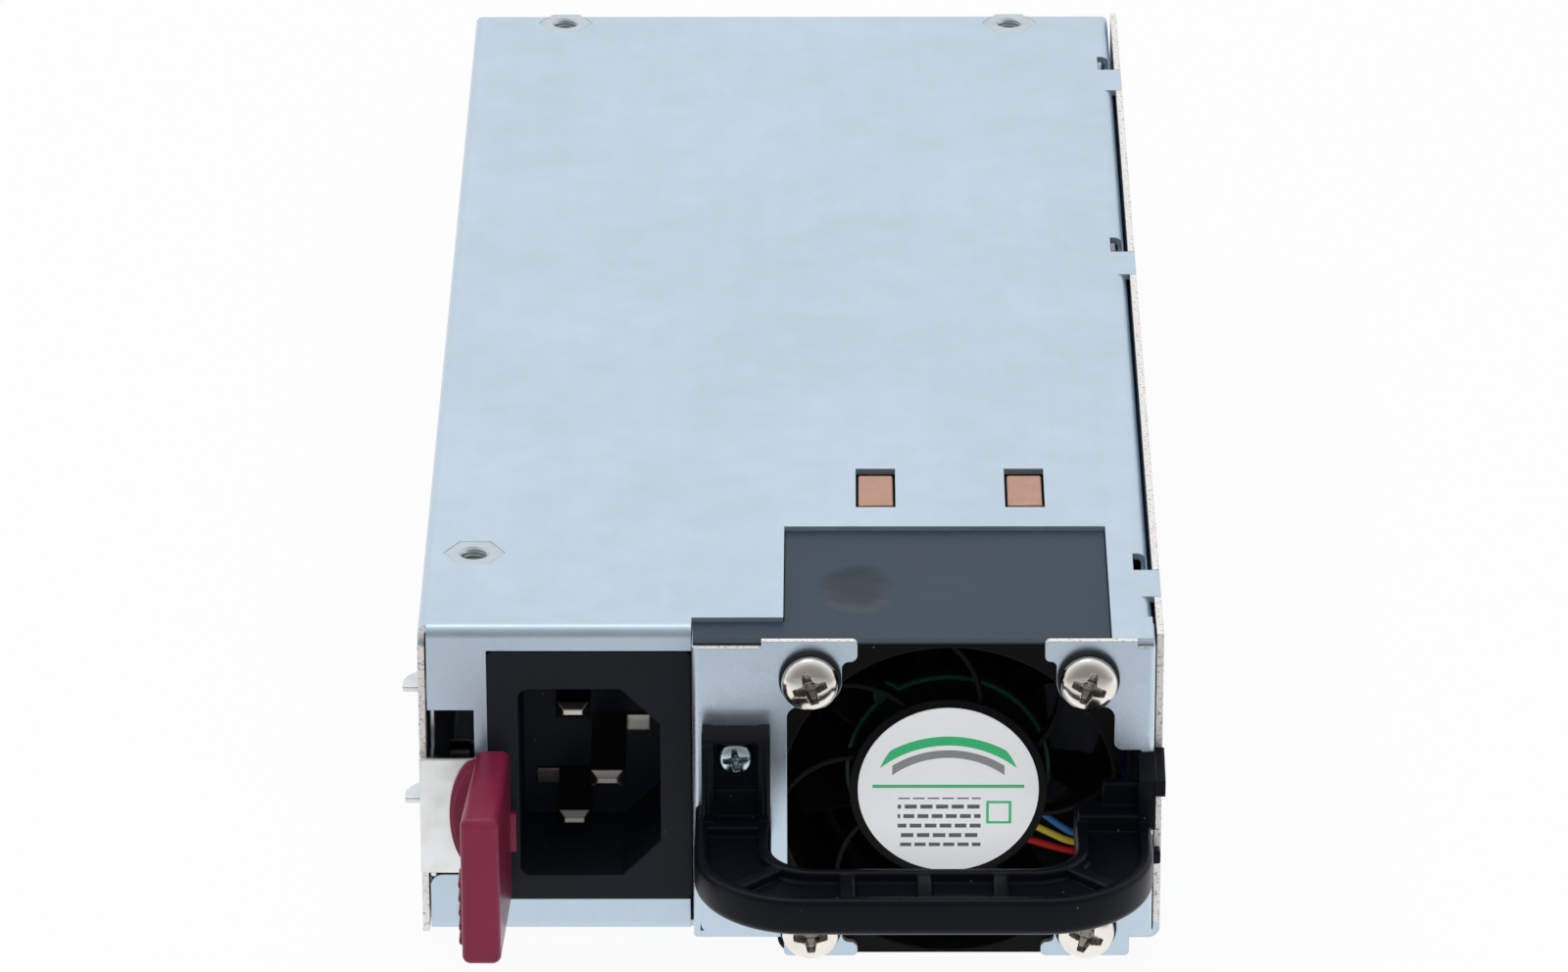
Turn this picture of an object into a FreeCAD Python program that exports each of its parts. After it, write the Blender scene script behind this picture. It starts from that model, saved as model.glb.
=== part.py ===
"""Hot swap server power supply, modelled as it comes apart on a bench.

The unit is a folded sheet case with an appliance inlet, a 40 mm fan and a pull handle on its
front, a sprung side latch with a release lever, and a board that ends in a gold edge tongue
at the rear.  The board hangs component side down from standoffs in the upper sheet.

Frame: X to the right, Y into the bay, Z up.  The origin is the centre of the case's underside.
Inside this file y is measured from the front plane of the inlet side, because most pieces are
set out from there; export() moves every piece back by half the case's length.
"""
import FreeCAD, Part
import math
import os

V = FreeCAD.Vector
X_AXIS, Y_AXIS, Z_AXIS = V(1, 0, 0), V(0, 1, 0), V(0, 0, 1)

# ---------------------------------------------------------------- driving dimensions (mm)
case_width = 86.0
case_length = 192.0
case_height = 39.2
sheet = 0.8                    # every folded steel part of the case
bend = 1.3                     # outer radius of the folds
fit = 0.1                      # clearance of parts that slide together at assembly
wall_gap = 0.4                 # between the chassis's right wall and the cover's right wall
air = 0.3                      # clearance beside anything that moves

# appliance inlet, turned a quarter so that its earth blade is on the right
inlet_left_inset = 8.0         # from the case's left face to the inlet's flange
inlet_bottom = 4.3
inlet_width, inlet_height = 23.5, 31.9
inlet_depth = 19.6
inlet_wall = 1.9
socket_width, socket_height, socket_depth = 16.4, 24.06, 16.4
socket_left, socket_bottom = 3.5, 3.04          # from the flange's lower left corner
socket_chamfer, socket_radius = 4.5, 1.2
pin_width, pin_thickness, pin_length = 4.0, 2.0, 12.2
pin_spacing = 14.0             # line to neutral
earth_offset = 4.0             # earth blade's line, right of the other two
earth_lead = 3.7               # the earth blade makes contact first
blade_tail, blade_stop = 7.0, 2.7

# fan
fan_size, fan_depth = 39.7, 28.0
fan_bore = 38.2
fan_hole_spacing, fan_hole = 32.0, 4.4
fan_drop = 1.35                # how far the fan stands below the case's underside
fan_right_inset = 24.7         # fan axis from the case's right face
fan_front = -2.8
fan_hub_radius, fan_hub_length = 11.5, 5.4
fan_hub_front = 2.8            # the hub's face behind the fan's front face
strut_count, strut_width, strut_depth, strut_swirl = 8, 0.7, 2.2, 24.0
strut_start = -19.0            # angle of the first strut's inner end
rotor_radius = 11.9
rotor_length = 16.5
blade_count, blade_thickness, blade_tip_gap = 7, 0.9, 0.5
shaft_radius = 1.5

# fan bracket
bracket_left_gap = 1.0         # between the inlet's flange and the bracket
bracket_bottom = 1.1
tab_inner, tab_outer, low_tab_outer = 5.45, 5.6, 3.1      # screw tabs' ends from the screw's axis
tab_rise = 2.1                 # from the screw's axis to where a tab steps out of its lobe
tab_corner, lobe_corner, foot_corner = 0.6, 0.9, 2.0
lobe_radius = 3.65             # plate round each fan screw
foot_notch_top = 25.3
grommet_sleeve = 2.1
opening_left, opening_right = 18.7, 19.1        # from the fan's axis, each way

# handle
handle_bottom, handle_top = 13.5, 18.2
handle_reach = 24.4            # in front of the bracket
bar_depth, leg_width = 8.6, 8.8
handle_outer_radius, handle_inner_radius = 12.5, 5.5
handle_rim, pocket_depth, rib_width = 1.5, 1.35, 1.8
left_heel, right_heel = 5.5, 3.2                # solid rear ends of the two legs
pad_height = 28.7
pad_screw_height = 25.3
foot_front, foot_height, foot_post = 4.4, 25.2, 3.15

# latch
leaf = 0.6                     # spring steel
leaf_bottom, leaf_top = 7.7, 22.5
leaf_root = 63.0               # y of the leaf's hinge line, at its rivets
barb_reach = 2.0               # beyond the case's left face
barb_front, barb_back = 4.0, 9.6
barb_low, barb_high = 14.7, 29.1
barb_thickness = 0.7
lever_width, lever_height, lever_reach = 4.2, 18.0, 17.8
lever_bottom = 5.4
lever_left_inset = 6.2

# board
board = 1.6
standoff_height = 4.0
hex_size = 6.3                 # across flats
screw_radius = 1.5
screw_head = 2.6               # radius of the board screws' heads
tongue_width, tongue_length = 52.0, 8.5
contact_pitch = 2.54
contact = 0.1                  # gold plate's thickness, drawn heavier than the real one

# ---------------------------------------------------------------- derived places
left, right = -case_width / 2, case_width / 2
inner_right = right - sheet - wall_gap           # outer face of the chassis's right wall
inlet_x0 = left + inlet_left_inset
inlet_x1 = inlet_x0 + inlet_width
inlet_z0, inlet_z1 = inlet_bottom, inlet_bottom + inlet_height
socket_x0 = inlet_x0 + socket_left
socket_z0 = inlet_z0 + socket_bottom
fan_x = right - fan_right_inset
fan_z = fan_size / 2 - fan_drop
fan_x0, fan_x1 = fan_x - fan_size / 2, fan_x + fan_size / 2
fan_back = fan_front + fan_depth
bracket_x0, bracket_x1 = inlet_x1 + bracket_left_gap, right - 1.0
bracket_front = fan_front - sheet
bracket_top = case_height - sheet - fit / 2
board_top = case_height - sheet - standoff_height
board_bottom = board_top - board
cut_x0, cut_x1 = fan_x - 19.1, fan_x + 18.7      # the fan's cut-out in the upper sheet
cut_back = fan_back + 2.7                        # and its rear edge


# ---------------------------------------------------------------- shape helpers
def block(x0, x1, y0, y1, z0, z1):
    """Box between two corners."""
    return Part.makeBox(x1 - x0, y1 - y0, z1 - z0, V(x0, y0, z0))


def rod(radius, start, axis, length):
    """Cylinder from a start point along an axis."""
    return Part.makeCylinder(radius, length, start, axis)


def fuse(shapes):
    """One clean solid or group from several shapes."""
    shapes = list(shapes)
    return shapes[0].multiFuse(shapes[1:]).removeSplitter() if len(shapes) > 1 else shapes[0]


def group(shapes):
    """Separate solids kept in one node."""
    return Part.makeCompound([solid for shape in shapes for solid in shape.Solids])


def round_edges(shape, radius, axis, keep=lambda point: True):
    """Fillet the straight edges that run along an axis and whose middle passes the test."""
    chosen = []
    for edge in shape.Edges:
        if edge.Curve.TypeId != "Part::GeomLine":
            continue
        middle = edge.CenterOfMass
        if abs(abs(edge.tangentAt(edge.FirstParameter).dot(axis)) - 1) < 1e-6 and keep(middle):
            chosen.append(edge)
    return shape.makeFillet(radius, chosen)


def outline(points, plane_z=0.0):
    """Face in the XY plane from a list of (x, y) corners."""
    corners = [V(x, y, plane_z) for x, y in points]
    return Part.Face(Part.makePolygon(corners + corners[:1]))


def front_plate(points, y0, thickness):
    """Plate in the XZ plane from a list of (x, z) corners, from y0 backwards."""
    corners = [V(x, y0, z) for x, z in points]
    return Part.Face(Part.makePolygon(corners + corners[:1])).extrude(V(0, thickness, 0))


def rounded_plate(corners, y0, thickness):
    """Plate in the XZ plane from (x, z, corner radius), from y0 backwards."""
    plate = front_plate([(x, z) for x, z, radius in corners], y0, thickness)
    for radius in sorted({radius for x, z, radius in corners if radius}):
        places = [(x, z) for x, z, corner in corners if corner == radius]
        plate = round_edges(plate, radius, Y_AXIS, lambda p: any(
            abs(p.x - x) < 0.01 and abs(p.z - z) < 0.01 for x, z in places))
    return plate


def hexagon(x, y, z, flats, height):
    """Hexagonal prism with two corners on the X axis."""
    radius = flats / math.sqrt(3)
    turns = [math.radians(60 * step) for step in range(6)]
    corners = [V(x + radius * math.cos(a), y + radius * math.sin(a), z) for a in turns]
    return Part.Face(Part.makePolygon(corners + corners[:1])).extrude(V(0, 0, height))


def turned(profile, centre, axis):
    """Solid of revolution: profile is a list of (distance along the axis, radius)."""
    side = X_AXIS if abs(axis.x) < 0.5 else Y_AXIS
    points = [centre + axis * along + side * radius for along, radius in profile]
    face = Part.Face(Part.makePolygon(points + points[:1]))
    return face.revolve(centre, axis, 360)


def headed_screw(seat, axis, shank, length, head_radius, head_height):
    """Headed screw: seat is the head's underside, the shank runs along the axis."""
    return turned([(length, 0), (length, shank), (0, shank), (0, head_radius),
                   (-head_height, head_radius), (-head_height, 0)], seat, axis)


# ---------------------------------------------------------------- folded sheet case
stem_radius = 2.4              # of the standoffs
rear_standoff_y = case_length - sheet - stem_radius
standoff_places = [(left + 5.9, 20.6), (left + 12.1, rear_standoff_y),
                   (right - 14.4, rear_standoff_y)]
tab_starts = [8.5, case_length / 2 + 7.2, case_length - 27.4]
hook_tab, hook_slot = 7.2, 4.6
barb_levels = [barb_low, barb_high]
rivet_levels = [leaf_bottom + 3.0, leaf_top - 3.0]
cover_screw_places = [40.0, case_length / 2 + 12.0, case_length - 16.0]
lip = 3.2                      # rear fold of the upper sheet
window_front, window_length, window_width = cut_back + 5.4, 11.0, 4.7
window_places = [fan_x - 8.3, fan_x + 9.4]
wall_start = 2.9               # front edges of the inner right wall and of the sheet by the fan
left_lip_height = 6.4


def folded_pan(x0, x1, y0, y1, z1, thickness):
    """Open-bottomed tray with rounded folds round its upper face."""
    def rounded_block(inset, z0):
        body = block(x0 + inset, x1 - inset, y0 + inset, y1 - inset, z0, z1 - inset)
        folds = [edge for edge in body.Edges if edge.CenterOfMass.z > z1 - inset - 0.01]
        return body.makeFillet(bend - inset, folds)
    return rounded_block(0.0, 0.0).cut(rounded_block(thickness, -1.0))


def chassis():
    """Upper sheet with its left wall, inner right wall, inlet-side front and rear lip."""
    pan = folded_pan(left, inner_right, 0.0, case_length, case_height, sheet)
    slit = 0.2
    flange_x0 = left + sheet + slit
    strip_x0 = inlet_x0 - 1.6
    front_flange_bottom = 28.7
    behind = sheet + 0.01
    top = case_height + 1
    cuts = [
        # front: side opening for the latch, inlet, and everything right of the inlet
        block(flange_x0 - slit, strip_x0, -1, behind, -1, front_flange_bottom),
        block(strip_x0, inlet_x0 - fit, -1, behind, -1, 8.0),
        block(inlet_x0 - fit, inner_right + 1, -1, behind, -1, inlet_z1 + fit),
        block(bracket_x0 - sheet - fit, inner_right + 1, -1, wall_start, inlet_z1, top),
        block(flange_x0 - slit, flange_x0, -1, behind, -1, case_height - bend),
        block(left - 1, flange_x0, -1, 1.0, case_height - 2.2, top),
        # fan cut-out and the strap windows
        block(cut_x0, cut_x1, -1, cut_back, case_height - 2, top),
        # right wall starts behind the bracket's return; rear wall is only a lip
        block(inner_right - bend, inner_right + 1, -1, wall_start, -1, case_height - sheet),
        block(left + sheet, inner_right - sheet, case_length - behind, case_length + 1, -1,
              case_height - lip),
        block(inner_right - sheet - 0.01, inner_right + 1, -1, case_length + 1, -1, sheet + fit),
    ]
    for x in window_places:
        cuts.append(block(x - window_width / 2, x + window_width / 2, window_front,
                          window_front + window_length, case_height - 2, top))
    for x, y in standoff_places:
        cuts.append(hexagon(x, y, case_height - 2, hex_size, 3))
    for z in barb_levels:
        cuts.append(block(left - 1, left + 1, barb_front - 1.0, barb_back + 1.4,
                          z - 0.8, z + barb_thickness + 0.8))
    for z in rivet_levels:
        cuts.append(rod(1.6, V(left - 1, leaf_root, z), X_AXIS, 2))
    for y in cover_screw_places:
        cuts.append(turned([(-1, 2.8), (0.0, 2.8), (sheet, 1.7), (2, 1.7), (2, 0), (-1, 0)],
                           V(left, y, left_lip_height / 2 + 0.4), X_AXIS))
    pan = pan.cut(Part.makeCompound(cuts))
    # the upper sheet's right shoulder runs forward to the bracket
    nose = block(cut_x1, inner_right, fan_front, 3.0, case_height - sheet, case_height)
    parts = [pan, nose]
    for start in tab_starts:
        parts.append(block(inner_right - bend - 0.5, right, start, start + hook_tab,
                           case_height - sheet, case_height))
    pan = fuse(parts)
    slots = [block(inner_right - 1.8, inner_right - 0.3, start + hook_tab,
                   start + hook_tab + hook_slot, case_height - 1.8, top)
             for start in tab_starts]
    return pan.cut(Part.makeCompound(slots))


def cover():
    """Lower sheet with its front flange, inner left lip and full right wall."""
    x0 = left + sheet + fit
    front_right = fan_front + 1.2
    shell = block(x0, right, front_right, case_length, 0, case_height)
    shell = round_edges(shell, bend, Y_AXIS, lambda p: p.z < 0.01)
    inner = block(x0 + sheet, right - sheet, front_right - 1, case_length + 1, sheet,
                  case_height + 1)
    inner = round_edges(inner, bend - sheet, Y_AXIS, lambda p: p.z < sheet + 0.01)
    shell = shell.cut(inner)
    flange = block(x0 + 0.1, inlet_x1 - 0.2, 0, 3, 0, 7.4)
    flange = round_edges(flange, bend, X_AXIS, lambda p: p.z < 0.01 and p.y < 0.01)
    hollow = block(x0, inlet_x1, sheet, 4, sheet, 8)
    hollow = round_edges(hollow, bend - sheet, X_AXIS,
                         lambda p: p.z < sheet + 0.01 and p.y < sheet + 0.01)
    flange = flange.cut(hollow)
    flange = round_edges(flange, 1.5, Y_AXIS, lambda p: p.x < x0 + 0.2 and p.z > 7)
    inlet_relief = block(inlet_x0 - fit, inlet_x1 + 1, -1, sheet + 0.01, inlet_z0 - fit, 8)
    trims = [
        block(x0 - 1, x0 + sheet + 0.01, -9, case_length + 1, left_lip_height, case_height + 1),
        block(x0 - 1, fan_x, -9, bend, -1, case_height + 1),
        block(fan_x0 - 1.0, fan_x1 + 1.0, -9, fan_back + 1.0, -1, sheet + 1),
        block(x0 - 1, fan_x0, -9, 1.0, -1, sheet + 1),
    ]
    for start in tab_starts:
        trims.append(block(right - sheet - 0.1, right + 1, start - fit, start + hook_tab + fit,
                           case_height - sheet - fit, case_height + 1))
    for y in cover_screw_places:
        trims.append(rod(screw_radius, V(x0 - 1, y, left_lip_height / 2 + 0.4), X_AXIS, 3))
    shell = shell.cut(Part.makeCompound(trims))
    return fuse([shell, flange.cut(inlet_relief)])


def rear_panel():
    """Vent panel below the board, with a return fold at each side."""
    y1 = case_length - sheet - fit
    x0, x1 = left + 2 * sheet + 3 * fit, inner_right - sheet - fit
    z0, z1 = sheet + fit, board_bottom - fit
    panel = block(x0, x1, y1 - sheet, y1, z0, z1)
    returns = [block(x0, x0 + sheet, y1 - 8, y1, z0, z1),
               block(x1 - sheet, x1, y1 - 8, y1, z0, z1)]
    panel = fuse([panel] + returns)
    vent, pitch = 3.7, 9.0        # hexagon's half width across flats, and spacing
    columns = int((x1 - x0 - 4) / pitch)
    rows = int((z1 - z0) / (pitch * math.sqrt(3) / 2)) + 1
    holes = []
    for row in range(rows):
        shift = pitch / 2 if row % 2 else 0
        z = z0 + vent + 1.6 + row * pitch * math.sqrt(3) / 2
        if z > z1 - vent - 1.4:
            continue
        for column in range(columns - row % 2):
            x = (x0 + x1) / 2 + (column - (columns - 1) / 2) * pitch + shift
            prism = hexagon(0, 0, 0, 2 * vent, 3 * sheet)
            prism.rotate(V(0, 0, 0), X_AXIS, 90)
            prism.translate(V(x, y1 + sheet, z))
            holes.append(prism)
    for x, y in standoff_places:
        holes.append(rod(screw_head + air, V(x, y, z1 - 2.2), Z_AXIS, 4))
    return panel.cut(Part.makeCompound(holes))


def bracket_plate(side, opening, edge, top_tab, low_tab, notch):
    """One bracket plate: a lobe round each screw, and tabs above and below.

    side is 1 for the right plate. opening and edge are its inner and outer X, top_tab and low_tab
    the X of each tab's two ends, inner end first, and notch the corners of a recess in its inner
    edge.
    """
    screw_x = fan_x + side * fan_hole_spacing / 2
    high, low = fan_z + fan_hole_spacing / 2, fan_z - fan_hole_spacing / 2
    lobe_x = screw_x - side * lobe_radius
    top_bend = min(lobe_corner, 0.48 * abs(lobe_x - top_tab[0]))
    low_bend = min(lobe_corner, 0.48 * abs(lobe_x - low_tab[0]))
    inner_corner = lobe_radius * 0.38
    corners = [
        (edge, bracket_bottom, foot_corner if side < 0 else 0), (edge, bracket_top, 0),
        (top_tab[1], bracket_top, 0), (top_tab[1], case_height, 0),
        (top_tab[0], case_height, tab_corner), (top_tab[0], high + tab_rise, top_bend),
        (lobe_x, high + tab_rise, top_bend), (lobe_x, high - lobe_radius, lobe_radius * 0.9),
        (opening, high - lobe_radius, inner_corner)]
    corners += notch
    corners += [
        (opening, low + lobe_radius, inner_corner), (lobe_x, low + lobe_radius, lobe_radius * 0.9),
        (lobe_x, low - tab_rise, low_bend), (low_tab[0], low - tab_rise, low_bend),
        (low_tab[0], -fan_drop, tab_corner), (low_tab[1], -fan_drop, tab_corner),
        (low_tab[1], bracket_bottom, 0)]
    plate = rounded_plate(corners, bracket_front, sheet)
    holes = [rod(grommet_sleeve + fit, V(screw_x, bracket_front - 1, z), Y_AXIS, 3)
             for z in (high, low)]
    return plate.cut(Part.makeCompound(holes))


def fan_brackets():
    """Left and right plates in front of the fan, each with two screw tabs.

    The left one turns back into a wall beside the inlet, with a foot under the upper sheet; the
    right one turns back to the chassis's inner right wall.
    """
    y0 = bracket_front
    x0, x1 = bracket_x0, bracket_x1
    open_x0, open_x1 = fan_x - opening_left, fan_x + opening_right
    left_screw, right_screw = fan_x - fan_hole_spacing / 2, fan_x + fan_hole_spacing / 2
    left_plate = bracket_plate(-1, open_x0, x0, (left_screw + tab_inner, left_screw - tab_outer),
                               (left_screw + tab_inner, left_screw - low_tab_outer), [])
    left_plate = left_plate.cut(rod(screw_radius + fit, pad_screw - Y_AXIS, Y_AXIS, 4))
    rail = x1 - 1.5
    notch = [(open_x1, foot_notch_top, 1.0), (rail, foot_notch_top, 0),
             (rail, handle_bottom - 0.5, 0), (open_x1, handle_bottom - 0.5, 0)]
    right_plate = bracket_plate(1, open_x1, x1,
                                (right_screw - tab_outer + 0.6, right_screw + tab_outer),
                                (right_screw - tab_outer + 0.4, right_screw + tab_outer - 0.5),
                                notch)
    # wall beside the inlet, with a foot under the upper sheet
    wall = block(x0 - sheet, x0, y0, 24.0, bracket_bottom, case_height - sheet)
    wall_relief = block(x0 - 2, x0 + 0.01, y0 - 1, 3.0, bracket_top, case_height)
    foot = block(x0 - sheet, fan_x0 - 2.0, 4.0, 24.0, case_height - 2 * sheet, case_height - sheet)
    lower_return = block(x0 - sheet, fan_x0 - air, y0, fan_front + 1.5, bracket_bottom,
                         bracket_bottom + sheet)
    right_return = block(x1 - sheet, x1, y0, wall_start, bracket_bottom, bracket_top)
    brackets = [fuse([left_plate, wall.cut(wall_relief), foot, lower_return]),
                fuse([right_plate, right_return])]
    return [round_edges(each, 0.7, Z_AXIS, lambda p: p.y < y0 + 0.01
                        and (p.x < x0 - sheet + 0.01 or p.x > x1 - 0.01)) for each in brackets]


# ---------------------------------------------------------------- appliance inlet
pin_x = socket_x0 + (socket_width - earth_offset) / 2
pin_middle = socket_z0 + socket_height / 2
pin_places = [(pin_x, pin_middle + pin_spacing / 2, 0.0),
              (pin_x, pin_middle - pin_spacing / 2, 0.0),
              (pin_x + earth_offset, pin_middle, earth_lead)]


def socket_form():
    """The hollow that the connector enters: two cut corners on the earth side."""
    x0, x1 = socket_x0, socket_x0 + socket_width
    z0, z1 = socket_z0, socket_z0 + socket_height
    c = socket_chamfer
    points = [(x0, z0), (x1 - c, z0), (x1, z0 + c), (x1, z1 - c), (x1 - c, z1), (x0, z1)]
    form = front_plate(points, 0.0, socket_depth)
    return round_edges(form, socket_radius, Y_AXIS, lambda p: p.x < x0 + 0.1)


def ac_inlet_body():
    """Moulded inlet: flush flange, deep socket and a shoulder behind the sheet."""
    flange = block(inlet_x0, inlet_x1, 0, sheet + fit, inlet_z0, inlet_z1)
    flange = round_edges(flange, 0.8, Y_AXIS)
    shoulder = block(inlet_x0 - 0.7, inlet_x1, sheet + fit, 3.4, inlet_z0, inlet_z1 + 0.7)
    body = block(socket_x0 - inlet_wall, socket_x0 + socket_width + inlet_wall, 0.5, inlet_depth,
                 socket_z0 - inlet_wall, min(socket_z0 + socket_height + inlet_wall, 33.3))
    body = round_edges(body, 1.5, Y_AXIS)
    body = fuse([flange, shoulder, body])
    entry = socket_form()
    slots = []
    for x, z, _ in pin_places:
        slots.append(block(x - pin_width / 2, x + pin_width / 2, socket_depth - 1,
                           inlet_depth + 1, z - pin_thickness / 2, z + pin_thickness / 2))
    return body.cut(entry).cut(Part.makeCompound(slots))


def inlet_blades():
    """Line, neutral and earth blades with tapered tips, stops on the back wall and tails."""
    blades = []
    for x, z, lead in pin_places:
        tip = socket_depth - pin_length - lead
        w, t = pin_width / 2, pin_thickness / 2
        blade = block(x - w, x + w, tip, inlet_depth, z - t, z + t)
        for axis, size in ((Z_AXIS, 0.9), (X_AXIS, 0.7)):
            ends = [e for e in blade.Edges
                    if abs(abs(e.tangentAt(e.FirstParameter).dot(axis)) - 1) < 1e-6
                    and abs(e.CenterOfMass.y - tip) < 0.01]
            blade = blade.makeChamfer(size, ends)
        tail = block(x - 1.6, x + 1.6, inlet_depth, inlet_depth + blade_tail, z - 0.4, z + 0.4)
        # the stop points right on the earth blade and left on the other two
        stop_x0, stop_x1 = (x - w, x + w + blade_stop) if lead else (x - w - blade_stop, x + w)
        stop = block(stop_x0, stop_x1, socket_depth - 0.5, socket_depth, z - t, z + t)
        blades.append(fuse([blade, tail, stop]))
    return group(blades)


# ---------------------------------------------------------------- fan
def fan_point(angle, radius, y):
    """Point round the fan's axis; the angle is counter-clockwise seen from the front."""
    a = math.radians(angle)
    return V(fan_x + radius * math.cos(a), y, fan_z + radius * math.sin(a))


def curved_strut(angle, r0, r1, swirl, width, y0, depth):
    """Thin bar from the hub to the rim, curved as a circular arc."""
    def edge(offset):
        turn = math.degrees(offset / ((r0 + r1) / 2))
        start = fan_point(angle + turn, r0, y0)
        middle = fan_point(angle + turn + swirl * 0.38, (r0 + r1) / 2, y0)
        end = fan_point(angle + turn + swirl, r1, y0)
        return Part.Arc(start, middle, end).toShape()
    one, two = edge(-width / 2), edge(width / 2)
    ends = [Part.makeLine(one.Vertexes[1].Point, two.Vertexes[1].Point),
            Part.makeLine(two.Vertexes[0].Point, one.Vertexes[0].Point)]
    wire = Part.Wire([one, ends[0], two.reversed(), ends[1]])
    return Part.Face(wire).extrude(V(0, depth, 0))


def fan_frame():
    """Square housing with a bell mouth, a motor base in front and curved struts."""
    half = fan_hole_spacing / 2
    centre = V(fan_x, fan_front, fan_z)
    body = block(fan_x0, fan_x1, fan_front, fan_back, fan_z - fan_size / 2, fan_z + fan_size / 2)
    body = round_edges(body, 2.0, Y_AXIS)
    bore = turned([(-1, 0), (-1, fan_bore / 2 + 0.5), (0, fan_bore / 2 + 0.4),
                   (1.6, fan_bore / 2), (fan_depth + 1, fan_bore / 2), (fan_depth + 1, 0)],
                  centre, Y_AXIS)
    holes = [rod(fan_hole / 2, V(fan_x + sx * half, fan_front - 1, fan_z + sz * half), Y_AXIS,
                 fan_depth + 2) for sx in (-1, 1) for sz in (-1, 1)]
    waist_depth = fan_depth - 12
    body = body.cut(bore).cut(Part.makeCompound(holes))
    for sx in (-1, 1):
        for sz in (-1, 1):
            # the body between the two end flanges is relieved round the corner bosses
            x, z = fan_x + sx * fan_size / 2, fan_z + sz * fan_size / 2
            corner = block(min(x, x - sx * 1.1), max(x, x - sx * 1.1), fan_front + 6,
                           fan_front + 6 + waist_depth, min(z, z - sz * 6), max(z, z - sz * 6))
            body = body.cut(corner)
    slot = block(fan_x + fan_bore / 2 - 4.0, fan_x1 + 1, lead_y - 0.8, lead_y + 6.0,
                 lead_z - 0.9, lead_z + 2 * lead_pitch + 2.4)
    body = body.cut(slot)
    base = turned([(0, 0), (0, fan_hub_radius),
                   (fan_hub_length, fan_hub_radius), (fan_hub_length, fan_hub_radius - 1.2),
                   (1.4, fan_hub_radius - 1.2), (1.4, 3.6), (13.0, 3.6), (13.0, 2.8),
                   (1.4, 2.8), (1.4, 0)], V(fan_x, hub_y, fan_z), Y_AXIS)
    struts = [curved_strut(strut_start + step * 360 / strut_count, fan_hub_radius - 0.4,
                           fan_bore / 2 + 0.3, strut_swirl, strut_width, hub_y + 0.8, strut_depth)
              for step in range(strut_count)]
    return fuse([body, base] + struts)


hub_y = fan_front + fan_hub_front
stator_board_y = hub_y + fan_hub_length
rotor_front = stator_board_y + 0.8 + 0.6
rotor_back = rotor_front + rotor_length
magnet_outer = rotor_radius - 1.3
magnet_inner = magnet_outer - 1.4


def fan_label():
    """Paper disc on the motor base."""
    return rod(10.5, V(fan_x, hub_y - 0.15, fan_z), Y_AXIS, 0.15)


def fan_stator_board():
    """Driver board in the mouth of the motor base, with the lobe that carries the leads."""
    disc = rod(fan_hub_radius + 0.45, V(fan_x, stator_board_y, fan_z), Y_AXIS, 0.8)
    lobe = rod(1.6, fan_point(127, fan_hub_radius + 0.4, stator_board_y), Y_AXIS, 0.8)
    tube = rod(3.7, V(fan_x, stator_board_y - 1, fan_z), Y_AXIS, 3)
    return fuse([disc, lobe]).cut(tube)


def fan_stator():
    """Laminated four-pole core with its windings, pressed on the bearing tube."""
    y0, y1 = stator_board_y + 1.4, hub_y + 12.4
    ring = rod(4.9, V(fan_x, y0, fan_z), Y_AXIS, y1 - y0)
    poles = []
    for step in range(4):
        arm = block(fan_x, fan_x + magnet_inner - 0.8, y0 + 1.2, y1 - 1.2,
                    fan_z - 1.1, fan_z + 1.1)
        shoe = rod(magnet_inner - 0.4, V(fan_x, y0 + 1.2, fan_z), Y_AXIS, y1 - y0 - 2.4)
        shoe = shoe.cut(rod(magnet_inner - 1.4, V(fan_x, y0, fan_z), Y_AXIS, y1 - y0))
        shoe = shoe.common(block(fan_x + 2, fan_x + 12, y0, y1, fan_z - 4.6, fan_z + 4.6))
        coil = block(fan_x + 4.6, fan_x + 6.9, y0, y1, fan_z - 2.4, fan_z + 2.4)
        pole = fuse([arm, shoe, coil])
        pole.rotate(V(fan_x, 0, fan_z), Y_AXIS, 90 * step)
        poles.append(pole)
    tube = rod(3.6, V(fan_x, y0 - 1, fan_z), Y_AXIS, y1 - y0 + 2)
    return fuse([ring] + poles).cut(tube)


def fan_rotor():
    """Rotor cup with its cambered blades."""
    centre = V(fan_x, rotor_front, fan_z)
    cup = turned([(0, magnet_outer), (0, rotor_radius), (rotor_length - 1.0, rotor_radius),
                  (rotor_length, rotor_radius - 1.0), (rotor_length, shaft_radius),
                  (rotor_length - 3.2, shaft_radius), (rotor_length - 3.2, 3.4),
                  (rotor_length - 1.5, 3.4), (rotor_length - 1.5, magnet_outer)], centre, Y_AXIS)
    tip = fan_bore / 2 - blade_tip_gap
    blades = []
    for step in range(blade_count):
        blade = rotor_blade(tip)
        blade.rotate(V(fan_x, 0, fan_z), Y_AXIS, step * 360 / blade_count)
        blades.append(blade)
    return fuse([cup] + blades)


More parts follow.
